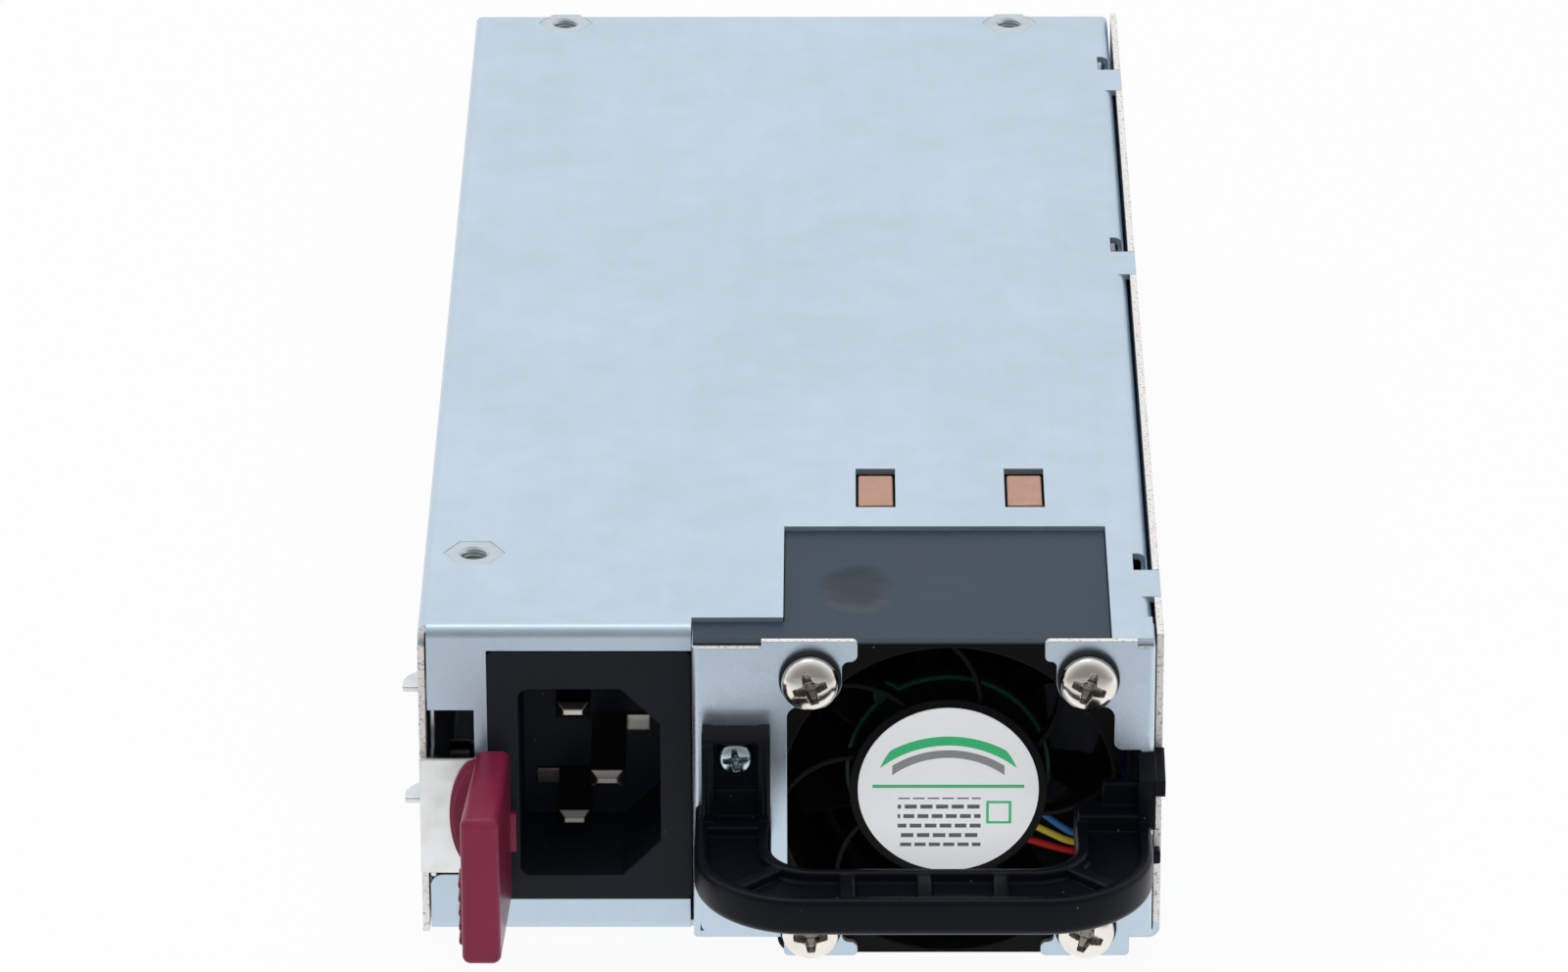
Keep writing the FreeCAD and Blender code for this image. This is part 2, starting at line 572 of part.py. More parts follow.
def rotor_blade(tip):
    """One cambered blade, lofted from a steep root to a flatter tip and trimmed round."""
    def section(radius, sweep, pitch_length, chord):
        # leading edge is at the front; the profile lies in the plane at this radius
        y0 = rotor_front + (rotor_length - pitch_length) / 2
        half = blade_thickness / 2
        def point(along, side):
            t = sweep + (along - 0.5) * chord
            camber = math.sin(math.pi * along) * 1.1
            return V(fan_x + t + camber, y0 + along * pitch_length + side * half, fan_z + radius)
        upper = Part.Arc(point(0, 1), point(0.5, 1), point(1, 1)).toShape()
        lower = Part.Arc(point(1, -1), point(0.5, -1), point(0, -1)).toShape()
        caps = [Part.makeLine(point(1, 1), point(1, -1)), Part.makeLine(point(0, -1), point(0, 1))]
        return Part.Wire([upper, caps[0], lower, caps[1]])
    root = section(rotor_radius - 2.6, 0.0, 13.5, 7.0)
    outer = section(tip + 1.0, 2.2, 11.5, 12.0)
    blade = Part.makeLoft([root, outer], True, True)
    ring = rod(tip, V(fan_x, rotor_front - 1, fan_z), Y_AXIS, rotor_length + 2)
    ring = ring.cut(rod(rotor_radius - 0.3, V(fan_x, rotor_front - 2, fan_z), Y_AXIS,
                        rotor_length + 4))
    return blade.common(ring)


def fan_magnet():
    """Magnet ring inside the rotor cup."""
    ring = rod(magnet_outer - 0.05, V(fan_x, rotor_front + 0.3, fan_z), Y_AXIS, rotor_length - 2.6)
    return ring.cut(rod(magnet_inner, V(fan_x, rotor_front, fan_z), Y_AXIS, rotor_length))


def fan_shaft():
    """Shaft pressed in the rotor and running in two bearings."""
    y0 = hub_y + 1.9
    return rod(shaft_radius, V(fan_x, y0, fan_z), Y_AXIS, rotor_back - y0)


def fan_bearings():
    """Two ball bearings in the tube of the motor base."""
    rings = []
    for y in (hub_y + 2.2, hub_y + 9.8):
        ring = rod(2.8, V(fan_x, y, fan_z), Y_AXIS, 2.5)
        rings.append(ring.cut(rod(shaft_radius, V(fan_x, y - 1, fan_z), Y_AXIS, 5)))
    return group(rings)


fan_screw_places = [V(fan_x + sx * fan_hole_spacing / 2, bracket_front,
                      fan_z + sz * fan_hole_spacing / 2) for sz in (1, -1) for sx in (-1, 1)]
grommet_flange, fan_screw_head = 0.9, 3.2


def fan_grommets():
    """Rubber bushes between the screw heads, the bracket and the fan."""
    bushes = []
    for place in fan_screw_places:
        bushes.append(turned([(-grommet_flange, 1.7), (-grommet_flange, 3.6), (0, 3.6),
                              (0, grommet_sleeve), (sheet + 3.0, grommet_sleeve),
                              (sheet + 3.0, 1.7)], place, Y_AXIS))
    return group(bushes)


def fan_screws():
    """Four long screws through the grommets."""
    return group([headed_screw(place - Y_AXIS * grommet_flange, Y_AXIS, screw_radius, 12.0,
                               fan_screw_head, 2.2) for place in fan_screw_places])


def fan_film():
    """Slate insulating film over the fan, with a wing that closes the gap by the inlet."""
    z0 = fan_z + fan_size / 2
    y0 = fan_front + fit
    sheet_over_fan = block(cut_x0 + fit, cut_x1 - fit, y0, cut_back - fit, z0, z0 + 0.25)
    wing = block(bracket_x0 - sheet + fit, cut_x0 + 1, y0, wall_start - fit, z0, z0 + 0.25)
    return fuse([sheet_over_fan, wing])


# fan leads: out of the motor base, beside the fan and back to the header on the board
lead_radius = 0.42
lead_names = ["red", "yellow", "blue"]
header_y = 48.0
plug_z = board_bottom - 6.0
lead_pitch = 2.4 * lead_radius
lead_angles = [-43.0, -33.0, -24.0]
lead_y = hub_y + 0.8 + strut_depth + lead_radius + 0.2
lead_z = fan_z - 10.3
plug_left, plug_right, header_wall = 2.4, 1.0, 0.8
lead_x = inner_right - sheet - fit / 2 - header_wall - plug_right     # line of the leads and plug


def lead_route(index):
    """Points of one lead; the leads lie above each other, a little over a lead's width apart."""
    step = index * lead_pitch
    start = fan_point(lead_angles[index], fan_hub_radius + lead_radius, lead_y)
    return [start, V(fan_x1 - 4.5, lead_y, lead_z + step), V(lead_x, lead_y + 2.5, lead_z + step),
            V(lead_x, header_y - fit, plug_z - lead_pitch + step)]


def tube(points, radius):
    """Round lead: straight runs joined by tangent arcs, as cylinders and torus pieces."""
    pieces = []
    at = points[0]
    for before, corner, after in zip(points, points[1:], points[2:]):
        inward, outward = (corner - before).normalize(), (after - corner).normalize()
        turn = inward.getAngle(outward)
        back = 0.45 * min((corner - before).Length, (after - corner).Length)
        arc_radius = back / math.tan(turn / 2)
        arc_start, arc_end = corner - inward * back, corner + outward * back
        centre = corner + (outward - inward).normalize() * (arc_radius / math.cos(turn / 2))
        pieces.append(rod(radius, at, inward, (arc_start - at).Length))
        section = Part.Face(Part.Wire(Part.makeCircle(radius, arc_start, inward)))
        pieces.append(section.revolve(centre, inward.cross(outward), math.degrees(turn)))
        at = arc_end
    pieces.append(rod(radius, at, points[-1] - at, (points[-1] - at).Length))
    return fuse(pieces)


def fan_lead(index):
    return tube(lead_route(index), lead_radius)


def plug_block(grow, y0, y1):
    """Box round the plug's centre line."""
    return block(lead_x - plug_left - grow, lead_x + plug_right + grow, y0, y1,
                 plug_z - 4.0 - grow, plug_z + 4.0 + grow)


def fan_plug():
    """Housing on the end of the fan leads."""
    return plug_block(0.0, header_y, header_y + 6.0)


def fan_header():
    """Pin header that hangs from the board and closes round the plug."""
    shell = plug_block(header_wall, header_y + 1.5, header_y + 8.0)
    neck = block(lead_x - plug_left - header_wall, lead_x + plug_right + header_wall,
                 header_y + 1.5, header_y + 8.0, plug_z + 4.0, board_bottom)
    return fuse([shell, neck]).cut(plug_block(0.0, header_y, header_y + 6.0))


# ---------------------------------------------------------------- pull handle
handle_x0, handle_x1 = bracket_x0 - 0.5, bracket_x1 - 0.4
handle_front = bracket_front - handle_reach
pad_x0, pad_x1 = handle_x0 + 0.8, handle_x0 + leg_width - 0.1
pad_screw = V(handle_x0 + 4.7, bracket_front - 2.0, pad_screw_height)


def u_outline(inset):
    """Loop of the handle seen from above, drawn inset from its outer and inner walls."""
    back = bracket_front - (inset if inset else 0.0)
    outer = block(handle_x0 + inset, handle_x1 - inset, handle_front + inset, back, 0, 1)
    outer = round_edges(outer, handle_outer_radius - inset, Z_AXIS,
                        lambda p: p.y < handle_front + inset + 0.01)
    inner = block(handle_x0 + leg_width - inset, handle_x1 - leg_width + inset,
                  handle_front + bar_depth - inset, bracket_front + 5, -1, 2)
    inner = round_edges(inner, handle_inner_radius + inset, Z_AXIS,
                        lambda p: p.y < handle_front + bar_depth - inset + 0.01)
    return outer.cut(inner)


def level(shape, z0, z1):
    """Stretch a one millimetre high plan shape between two heights."""
    matrix = FreeCAD.Matrix()
    matrix.scale(1, 1, z1 - z0)
    shape = shape.transformGeometry(matrix)
    shape.translate(V(0, 0, z0))
    return shape


def plan(shape):
    """Lower face of a plan shape."""
    return [face for face in shape.Faces if abs(face.CenterOfMass.z) < 0.01][0]


def handle():
    """Moulded loop with open pockets, cross ribs, a screw pad and a hooked right foot."""
    loop = plan(u_outline(0.0)).extrude(V(0, 0, handle_top - handle_bottom))
    loop.translate(V(0, 0, handle_bottom))
    lower = [e for e in loop.Edges if abs(e.CenterOfMass.z - handle_bottom) < 0.01
             and e.BoundBox.YMin < bracket_front - 1]
    loop = loop.makeFillet(1.2, lower)
    pocket_floor = handle_top - pocket_depth
    pocket = plan(u_outline(handle_rim)).extrude(V(0, 0, handle_top))
    pocket.translate(V(0, 0, pocket_floor))
    for x, heel in ((handle_x0, left_heel), (handle_x1 - leg_width, right_heel)):
        pocket = pocket.cut(block(x, x + leg_width, bracket_front - heel, bracket_front + 1,
                                  0, 2 * handle_top))
    ribs = []
    rib_z0, rib_z1 = pocket_floor - 0.5, handle_top - 0.2
    y0, y1 = handle_front + 0.5, handle_front + bar_depth - 0.5
    span = handle_x1 - handle_x0 - 2 * leg_width
    for step in range(3):
        x = handle_x0 + leg_width + span * (step + 1) / 4
        ribs.append(block(x - rib_width / 2, x + rib_width / 2, y0, y1, rib_z0, rib_z1))
    for x, side in ((handle_x0 + leg_width, -1), (handle_x1 - leg_width, 1)):
        bar = block(-rib_width / 2, rib_width / 2, -bar_depth, 0.5, rib_z0, rib_z1)
        bar.rotate(V(0, 0, 0), Z_AXIS, 45 * side)
        bar.translate(V(x - side * handle_rim, handle_front + bar_depth + handle_rim, 0))
        ribs.append(bar)
    ribs = fuse(ribs).common(level(u_outline(0.7), handle_bottom, handle_top))
    loop = fuse([loop.cut(pocket), ribs])
    # upright pad with raised side walls, held by one screw
    y = bracket_front
    pad = block(pad_x0, pad_x1, y - 2.0, y, handle_bottom + 2, pad_height)
    knee = block(pad_x0, pad_x1, y - 3.2, y, handle_bottom + 2, handle_top + 3.4)
    walls = [block(pad_x0, pad_x0 + 1.4, y - 4.2, y, handle_bottom + 2, pad_height),
             block(pad_x1 - 1.4, pad_x1, y - 4.2, y, handle_bottom + 2, pad_height),
             block(pad_x0, pad_x1, y - 3.4, y, pad_height - 1.2, pad_height)]
    pad = fuse([pad, knee] + walls)
    pad = round_edges(pad, 0.9, Y_AXIS, lambda p: p.z > pad_height - 0.01
                      and not pad_x0 + 0.1 < p.x < pad_x1 - 0.1)
    # right foot: a low plate and a post on the bracket, hooked round its corner by two lugs
    post_x0 = right + air - foot_post
    outside = right + 0.2
    low_plate = block(handle_x1 - 5.6, post_x0 + 1, y - 1.4, y, handle_top - 1.0,
                      handle_top + 3.5)
    foot = block(post_x0, outside, y - foot_front, y, handle_top - 1.0, foot_height)
    foot = round_edges(foot, 0.9, Y_AXIS, lambda p: p.z > foot_height - 0.01)
    lug = block(bracket_x1 + fit, outside, y - 2.0, fan_front + 0.9, handle_top + 1.3,
                foot_height - 0.8)
    bridge_z0 = handle_bottom - 3.4
    bridge = block(handle_x1 - 2.0, outside, y - 2.0, y, bridge_z0, handle_bottom + 1.0)
    small_lug = block(bracket_x1 + fit, outside, y - 2.0, fan_front + 0.9, bridge_z0,
                      bridge_z0 + 1.6)
    shape = fuse([loop, pad, low_plate, foot, lug, bridge, small_lug])
    return shape.cut(rod(screw_radius + 0.2, pad_screw - Y_AXIS * 7, Y_AXIS, 10))


def handle_screw():
    """Screw that holds the handle's pad on the bracket."""
    return headed_screw(pad_screw, Y_AXIS, screw_radius, 5.0, 2.1, 1.6)


# ---------------------------------------------------------------- side latch
leaf_x0 = left + sheet + air
plate_back = -0.8
lever_x0 = left + lever_left_inset
lever_x1 = lever_x0 + lever_width
plate_x1 = lever_x1 + 0.7


def latch_spring():
    """Leaf with a turned front plate and two retaining barbs that stand through the wall."""
    long_leaf = block(leaf_x0, leaf_x0 + leaf, plate_back - leaf, leaf_root + 3.0,
                      leaf_bottom, leaf_top)
    upper = block(leaf_x0, leaf_x0 + leaf, barb_front - 0.4, barb_back + 6.0, leaf_top - 1,
                  barb_high + 1.9)
    taper = front_side([(barb_back + 6.0, leaf_top), (barb_back + 16.0, leaf_top),
                        (barb_back + 6.0, barb_high + 1.9)])
    front = block(left, plate_x1, plate_back - leaf, plate_back, leaf_bottom, leaf_top)
    barbs = []
    for z in barb_levels:
        tip = left - barb_reach
        ramp = Part.Arc(V(tip, barb_front + 1.6, z), V(tip + 0.7, barb_front + 3.4, z),
                        V(leaf_x0, barb_back, z)).toShape()
        sides = [Part.makeLine(V(leaf_x0, barb_back, z), V(leaf_x0, barb_front, z)),
                 Part.makeLine(V(leaf_x0, barb_front, z), V(tip, barb_front, z)),
                 Part.makeLine(V(tip, barb_front, z), V(tip, barb_front + 1.6, z))]
        barbs.append(Part.Face(Part.Wire([ramp] + sides)).extrude(V(0, 0, barb_thickness)))
    spring = fuse([long_leaf, upper, taper, front] + barbs)
    holes = [rod(1.3, V(leaf_x0 - 1, leaf_root, z), X_AXIS, 3) for z in rivet_levels]
    return spring.cut(Part.makeCompound(holes))


def front_side(points):
    """Plate in the leaf's plane from a list of (y, z) corners."""
    corners = [V(leaf_x0, y, z) for y, z in points]
    return Part.Face(Part.makePolygon(corners + corners[:1])).extrude(V(leaf, 0, 0))


def latch_rivets():
    """Two shouldered rivets that carry the leaf's root on the left wall."""
    rivets = []
    for z in rivet_levels:
        shank = sheet + air + leaf + 0.15
        rivets.append(turned([(-0.35, 0), (-0.35, 2.4), (0, 2.4), (0, 1.2), (shank, 1.2),
                              (shank, 2.2), (shank + 0.7, 2.2), (shank + 0.7, 0)],
                             V(left, leaf_root, z), X_AXIS))
    return group(rivets)


def latch_lever():
    """Release lever: an upright blade on an oval base, with grip ribs on its left face."""
    y1 = plate_back - leaf
    middle_z = (leaf_bottom + leaf_top) / 2
    blade = block(lever_x0, lever_x1, y1 - lever_reach, y1, lever_bottom,
                  lever_bottom + lever_height)
    blade = round_edges(blade, 1.6, X_AXIS, lambda p: p.y < y1 - lever_reach + 0.01)
    blade = round_edges(blade, 1.0, Y_AXIS)
    lower_relief = block(lever_x0 - 1, lever_x1 + 1, y1 - 2.2, y1 + 1, 0, leaf_bottom)
    base = rod(7.8, V(0, 0, 0), Y_AXIS, 1.1)
    squeeze = FreeCAD.Matrix()
    squeeze.scale(0.5, 1, 0.94)
    base = base.transformGeometry(squeeze)
    base.translate(V(lever_x0 + 1.1, y1 - 1.1, middle_z + 0.3))
    ribs = [block(lever_x0 - 0.35, lever_x0 + 0.5, y1 - lever_reach + 2.0, y1 - lever_reach + 6.0,
                  lever_bottom + 1.6 + 1.8 * step, lever_bottom + 2.5 + 1.8 * step)
            for step in range(5)]
    return fuse([blade.cut(lower_relief), base] + ribs)


# ---------------------------------------------------------------- board and what it carries
board_x0, board_x1 = left + sheet + 1.0, inner_right - sheet - 0.6
board_front = max(inlet_depth + 9.5, fan_back + 3.9)        # clear of the inlet and of the fan
board_back = case_length - 2 * sheet - 2 * fit
tongue_x0 = -tongue_width / 2 + 3.0
key_x = tongue_x0 + tongue_width * 0.62


def main_board():
    """Board with a relief for the inlet, a corner ear and the keyed rear tongue."""
    ear_x1 = inlet_x0 + 1.0
    points = [(board_x0, 14.5), (ear_x1, 14.5), (ear_x1, board_front - 1.0),
              (board_x1, board_front), (board_x1, board_back),
              (tongue_x0 + tongue_width, board_back),
              (tongue_x0 + tongue_width, case_length + tongue_length - 1),
              (tongue_x0 + tongue_width - 1, case_length + tongue_length),
              (key_x + 1, case_length + tongue_length), (key_x + 1, case_length + 1.5),
              (key_x - 1, case_length + 1.5), (key_x - 1, case_length + tongue_length),
              (tongue_x0 + 1, case_length + tongue_length),
              (tongue_x0, case_length + tongue_length - 1), (tongue_x0, board_back),
              (board_x0, board_back)]
    body = outline(points, board_bottom).extrude(V(0, 0, board))
    holes = [rod(screw_radius + 0.1, V(x, y, board_bottom - 1), Z_AXIS, board + 2)
             for x, y in standoff_places]
    return body.cut(Part.makeCompound(holes))


def edge_contacts():
    """Gold contacts on both faces of the tongue, left clear of the key slot."""
    pads = []
    count = int((tongue_width - 3) / contact_pitch)
    start = tongue_x0 + (tongue_width - (count - 1) * contact_pitch) / 2
    for step in range(count):
        x = start + step * contact_pitch
        if abs(x - key_x) < 2.0:
            continue
        for z in (board_top, board_bottom - contact):
            pads.append(block(x - 0.85, x + 0.85, case_length + 1.0,
                              case_length + tongue_length - 1.2, z, z + contact))
    return group(pads)


def board_standoffs():
    """Clinched standoffs: a hexagon flush with the upper sheet and a round threaded body."""
    bodies = []
    for x, y in standoff_places:
        head = hexagon(x, y, case_height - sheet, hex_size, sheet)
        stem = rod(stem_radius, V(x, y, board_top), Z_AXIS, standoff_height)
        bodies.append(fuse([head, stem]).cut(rod(1.4, V(x, y, board_top - 1), Z_AXIS, 9)))
    return group(bodies)


def board_screws():
    """Screws that hold the board on its standoffs."""
    shank = board + standoff_height - 0.4
    return group([headed_screw(V(x, y, board_bottom), Z_AXIS, 1.4, shank, screw_head, 1.6)
                  for x, y in standoff_places])


def board_insulator():
    """Film between the board's solder side and the upper sheet."""
    z1 = case_height - sheet
    film = block(board_x0 + 1, board_x1 - 1, board_front - 0.5, case_length - 9, z1 - 0.25, z1)
    cuts = [block(x - window_width / 2 - 0.6, x + window_width / 2 + 0.6, window_front - 0.6,
                  window_front + window_length + 0.6, z1 - 1, z1 + 1) for x in window_places]
    return film.cut(Part.makeCompound(cuts))


def copper_straps():
    """Two current straps that bridge the board's solder side under the windows."""
    straps = []
    for x in window_places:
        y0, y1 = window_front + 0.3, window_front + window_length - 1.6
        z1 = case_height - sheet - 0.7
        bridge = block(x - 2.1, x + 2.1, y0, y1, board_top, z1)
        bridge = round_edges(bridge, 1.0, X_AXIS, lambda p: p.z > z1 - 0.01)
        tunnel = block(x - 3, x + 3, y0 + 0.8, y1 - 0.8, board_top - 1, z1 - 0.8)
        straps.append(bridge.cut(tunnel))
    return group(straps)


def hang(width, depth, height, x, y):
    """Box that hangs from the board, centred at x, y."""
    return block(x - width / 2, x + width / 2, y - depth / 2, y + depth / 2,
                 board_bottom - height, board_bottom)


def ring(outer, inner, height, centre, axis):
    """Ring about an axis with its lower face at the centre point."""
    return rod(outer, centre, axis, height).cut(rod(inner, centre - axis, axis, height + 2))


filter_y = 48.0                 # mains filter stage
pfc_y = 68.0                    # boost stage
power_y = (pfc_y + 20 + case_length - 66) / 2     # bulk capacitor, switches and transformer
output_y = case_length - 40.0   # output filter
ac_x = left + 19.0


def wound_ring(x, y, outer, inner, height, turns):
    """Toroid standing on the board: core, and turns of wire as a ring of round bars."""
    z = board_bottom - outer - 1.2
    wire = 1.2
    half = math.pi * inner / turns * 0.9
    core = ring(outer - wire - fit, inner + wire + fit, height - 2 * wire,
                V(x, y - height / 2 + wire, z), Y_AXIS)
    wires = []
    for step in range(turns):
        loop = block(inner, outer, -height / 2, height / 2, -half, half)
        loop = loop.cut(block(inner + wire, outer - wire, -height / 2 + wire, height / 2 - wire,
                              -2, 2))
        loop.rotate(V(0, 0, 0), Y_AXIS, 360 * (step + 0.5) / turns)
        loop.translate(V(x, y, z))
        wires.append(loop)
    seat = block(x - outer * 0.6, x + outer * 0.6, y - height / 2 - 0.6, y + height / 2 + 0.6,
                 board_bottom - 1.2, board_bottom)
    return core, group(wires), seat


def x_capacitor():
    """Box film capacitor across the mains."""
    return round_edges(hang(26.0, 10.0, 17.0, ac_x + 6.0, filter_y - 5.0), 0.8, Z_AXIS)


def y_capacitors():
    """Two disc capacitors to earth."""
    return group([rod(4.0, V(left + 2.6, filter_y + 1.0 + 9.0 * step, board_bottom - 4.0),
                      X_AXIS, 3.6) for step in (0, 1)])


def fuse_link():
    """Ceramic fuse with metal end caps, seated on the board."""
    y0, z = 31.0, board_bottom - 3.2
    tube_body = rod(2.6, V(left + 8.0, y0 + 1, z), Y_AXIS, 10)
    caps = [rod(3.2, V(left + 8.0, y0 + step * 8.0, z), Y_AXIS, 4) for step in (0, 1)]
    return fuse([tube_body] + caps)


def relay():
    """Inrush relay."""
    return round_edges(hang(11.0, 19.0, 15.5, left + 8.5, pfc_y + 6.0), 0.6, Z_AXIS)


def bridge_rectifier():
    """Flat bridge rectifier that stands between the filter and the boost stage."""
    body = hang(22.0, 4.6, 18.0, ac_x + 8.0, pfc_y + 13.5)
    return body.cut(rod(1.7, V(ac_x + 8.0, pfc_y, board_bottom - 10.0), Y_AXIS, 30))


def bulk_capacitor():
    """Lying electrolytic with its crimped end."""
    radius, length = 14.5, 42.0
    z = board_bottom - radius - 0.6
    y0 = power_y - length / 2
    can = turned([(0, 0), (0, radius), (length - 5, radius), (length - 4.2, radius - 1.0),
                  (length - 3.4, radius), (length, radius), (length, 0)],
                 V(ac_x + 2, y0, z), Y_AXIS)
    saddle = block(ac_x - 4, ac_x + 8, y0 + 4, y0 + length - 8, board_bottom - 2.4, board_bottom)
    return fuse([can, saddle])


def heatsink(x, y, length, fins):
    """Extruded plate with fins, standing on the board along the air flow."""
    parts = [block(x - 1.2, x + 1.2, y - length / 2, y + length / 2, board_bottom - 27,
                   board_bottom)]
    for step in range(fins):
        z = board_bottom - 4 - step * 21.0 / (fins - 1)
        parts.append(block(x, x + 8.0, y - length / 2, y + length / 2, z - 0.6, z + 0.6))
    return fuse(parts)


primary_sink_x = ac_x + 24.0
secondary_sink_x = primary_sink_x - 4.0


def power_transistors():
    """Four flat switches clipped to the primary heatsink's bare side."""
    gap = 10.2
    return group([block(primary_sink_x - 5.9, primary_sink_x - 1.2,
                        power_y + gap * (step - 1.5) - 4.0, power_y + gap * (step - 1.5) + 4.0,
                        board_bottom - 19, board_bottom) for step in range(4)])


transformer_x = primary_sink_x + 22.0
transformer_y = power_y - 6.0


def transformer_core():
    """Ferrite core of two E halves round the winding."""
    shell = hang(23.0, 26.0, 26.0, transformer_x, transformer_y)
    window = hang(17.0, 30.0, 19.0, transformer_x, transformer_y)
    window.translate(V(0, 0, -3.5))
    leg = rod(4.5, V(transformer_x, transformer_y, board_bottom - 24), Z_AXIS, 22)
    return fuse([shell.cut(window), leg])


def transformer_winding():
    """Winding on the core's middle leg."""
    return ring(8.2, 4.8, 17.6, V(transformer_x, transformer_y, board_bottom - 21.8), Z_AXIS)


choke_x, choke_y = transformer_x - 1.0, transformer_y + 25.0


def output_choke():
    """Block core of the output choke."""
    return hang(16.0, 14.0, 16.0, choke_x, choke_y)


def output_choke_turns():
    """Flat copper turns that wrap the output choke's block."""
    x, y = choke_x, choke_y
    turns = []
    for step in range(5):
        z = board_bottom - 3.5 - step * 2.4
        band = block(x - 9.4, x + 9.4, y - 8.4, y + 8.4, z - 0.8, z + 0.8)
        turns.append(band.cut(block(x - 8.1, x + 8.1, y - 7.1, y + 7.1, z - 2, z + 2)))
    riser = block(x - 9.4, x - 8.1, y - 3, y + 3, board_bottom - 13.9, board_bottom)
    return fuse(turns + [riser])


def output_capacitors():
    """Two rows of polymer capacitors at the output."""
    cans = []
    for column in range(4):
        for row in range(2):
            place = V(-17.0 + column * 11.4, output_y + row * 10.4, board_bottom)
            cans.append(rod(4.9, place, V(0, 0, -1), 16.0))
    return group(cans)


def output_bus_bar():
    """Copper bar that carries the output to the tongue."""
    y = output_y + 19.0
    bar = hang(50.0, 2.0, 9.0, tongue_x0 + tongue_width / 2, y)
    feet = hang(50.0, 6.0, 1.4, tongue_x0 + tongue_width / 2, y + 1)
    return fuse([bar, feet])


def control_board():
    """Upright daughter card with the controller chips."""
    x = right - 6.6
    card = block(x - 0.8, x + 0.8, power_y - 30, power_y + 22, board_bottom - 24, board_bottom)
    chips = [block(x - 2.3, x - 0.8, power_y + dy - 4, power_y + dy + 4, board_bottom - 15,
                   board_bottom - 7) for dy in (-20, -2, 13)]
    return fuse([card] + chips)


def inlet_leads():
    """Flat bars from the inlet's tails up to the board."""
    leads = []
    for index, (x, z, _) in enumerate(pin_places):
        foot_y = inlet_depth + 10.5 + 3.0 * index
        run = block(x - 1.2, x + 1.2, inlet_depth + blade_tail, foot_y + 0.4, z - 0.4, z + 0.4)
        riser = block(x - 1.2, x + 1.2, foot_y - 0.4, foot_y + 0.4, z - 0.4, board_bottom)
        leads.append(fuse([run, riser]))
    return group(leads)


def cover_screws():
    """Countersunk screws through the left wall into the cover's lip."""
    z = left_lip_height / 2 + 0.4
    return group([turned([(0.05, 0), (0.05, 2.7), (sheet, screw_radius), (4.5, screw_radius),
                          (4.5, 0)], V(left, y, z), X_AXIS) for y in cover_screw_places])


# ---------------------------------------------------------------- export
def export(name, shape):
    """Write one node, moved to the part's own origin."""
    shape = shape.copy()
    shape.translate(V(0, -case_length / 2, 0))
    if not shape.isValid() or not shape.Solids:
        raise ValueError(name + " is not a valid solid")
    shape.exportStep("parts/" + name + ".step")
    print(name, len(shape.Solids), "solids", round(sum(s.Volume for s in shape.Solids), 1))


def main():
    os.makedirs("parts", exist_ok=True)
    pfc_core, pfc_winding, pfc_seat = wound_ring(ac_x + 26.0, pfc_y, 12.6, 5.4, 13.0, 14)
    cm_core, cm_winding, cm_seat = wound_ring(ac_x - 2.0, filter_y + 6.0, 10.0, 4.4, 10.0, 10)
    left_bracket, right_bracket = fan_brackets()
    nodes = {
        "chassis": chassis(), "cover": cover(), "rear_panel": rear_panel(),
        "fan_bracket_left": left_bracket, "fan_bracket_right": right_bracket,
        "ac_inlet_body": ac_inlet_body(),
        "inlet_blades": inlet_blades(), "inlet_leads": inlet_leads(),
        "handle": handle(), "handle_screw": handle_screw(),
        "fan_frame": fan_frame(), "fan_label": fan_label(),
        "fan_stator_board": fan_stator_board(), "fan_stator": fan_stator(),
        "fan_rotor": fan_rotor(), "fan_magnet": fan_magnet(), "fan_shaft": fan_shaft(),
        "fan_bearings": fan_bearings(), "fan_screws": fan_screws(),
        "fan_grommets": fan_grommets(), "fan_film": fan_film(),
        "fan_plug": fan_plug(), "fan_header": fan_header(),
        "latch_spring": latch_spring(), "latch_rivets": latch_rivets(),
        "latch_lever": latch_lever(),
        "main_board": main_board(), "edge_contacts": edge_contacts(),
        "board_standoffs": board_standoffs(), "board_screws": board_screws(),
        "board_insulator": board_insulator(), "copper_straps": copper_straps(),
        "x_capacitor": x_capacitor(), "y_capacitors": y_capacitors(), "fuse_link": fuse_link(),
        "relay": relay(), "bridge_rectifier": bridge_rectifier(),
        "bulk_capacitor": bulk_capacitor(),
        "primary_heatsink": heatsink(primary_sink_x, power_y, 42.0, 5),
        "secondary_heatsink": heatsink(secondary_sink_x, output_y - 15.0, 14.0, 4),
        "power_transistors": power_transistors(),
        "transformer_core": transformer_core(), "transformer_winding": transformer_winding(),
        "output_choke": output_choke(), "output_choke_turns": output_choke_turns(),
        "output_capacitors": output_capacitors(), "output_bus_bar": output_bus_bar(),
        "control_board": control_board(), "cover_screws": cover_screws(),
        "boost_choke_core": fuse([pfc_core, pfc_seat]), "boost_choke_winding": pfc_winding,
        "filter_choke_core": fuse([cm_core, cm_seat]), "filter_choke_winding": cm_winding,
    }
    for index, colour in enumerate(lead_names):
        nodes["fan_lead_" + colour] = fan_lead(index)
    for name, shape in nodes.items():
        export(name, shape)


main()
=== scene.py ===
"""Looks of a hot swap server power supply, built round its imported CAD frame.

Everything stands in the frame of the CAD, in metres: +X right, +Y away from the inlet side, +Z up. New pieces
are worked out in millimetres, and piece() brings them to metres.
"""

import math
from collections import namedtuple
from types import SimpleNamespace

import bmesh
import bpy
import numpy as np
from mathutils import Matrix, Vector


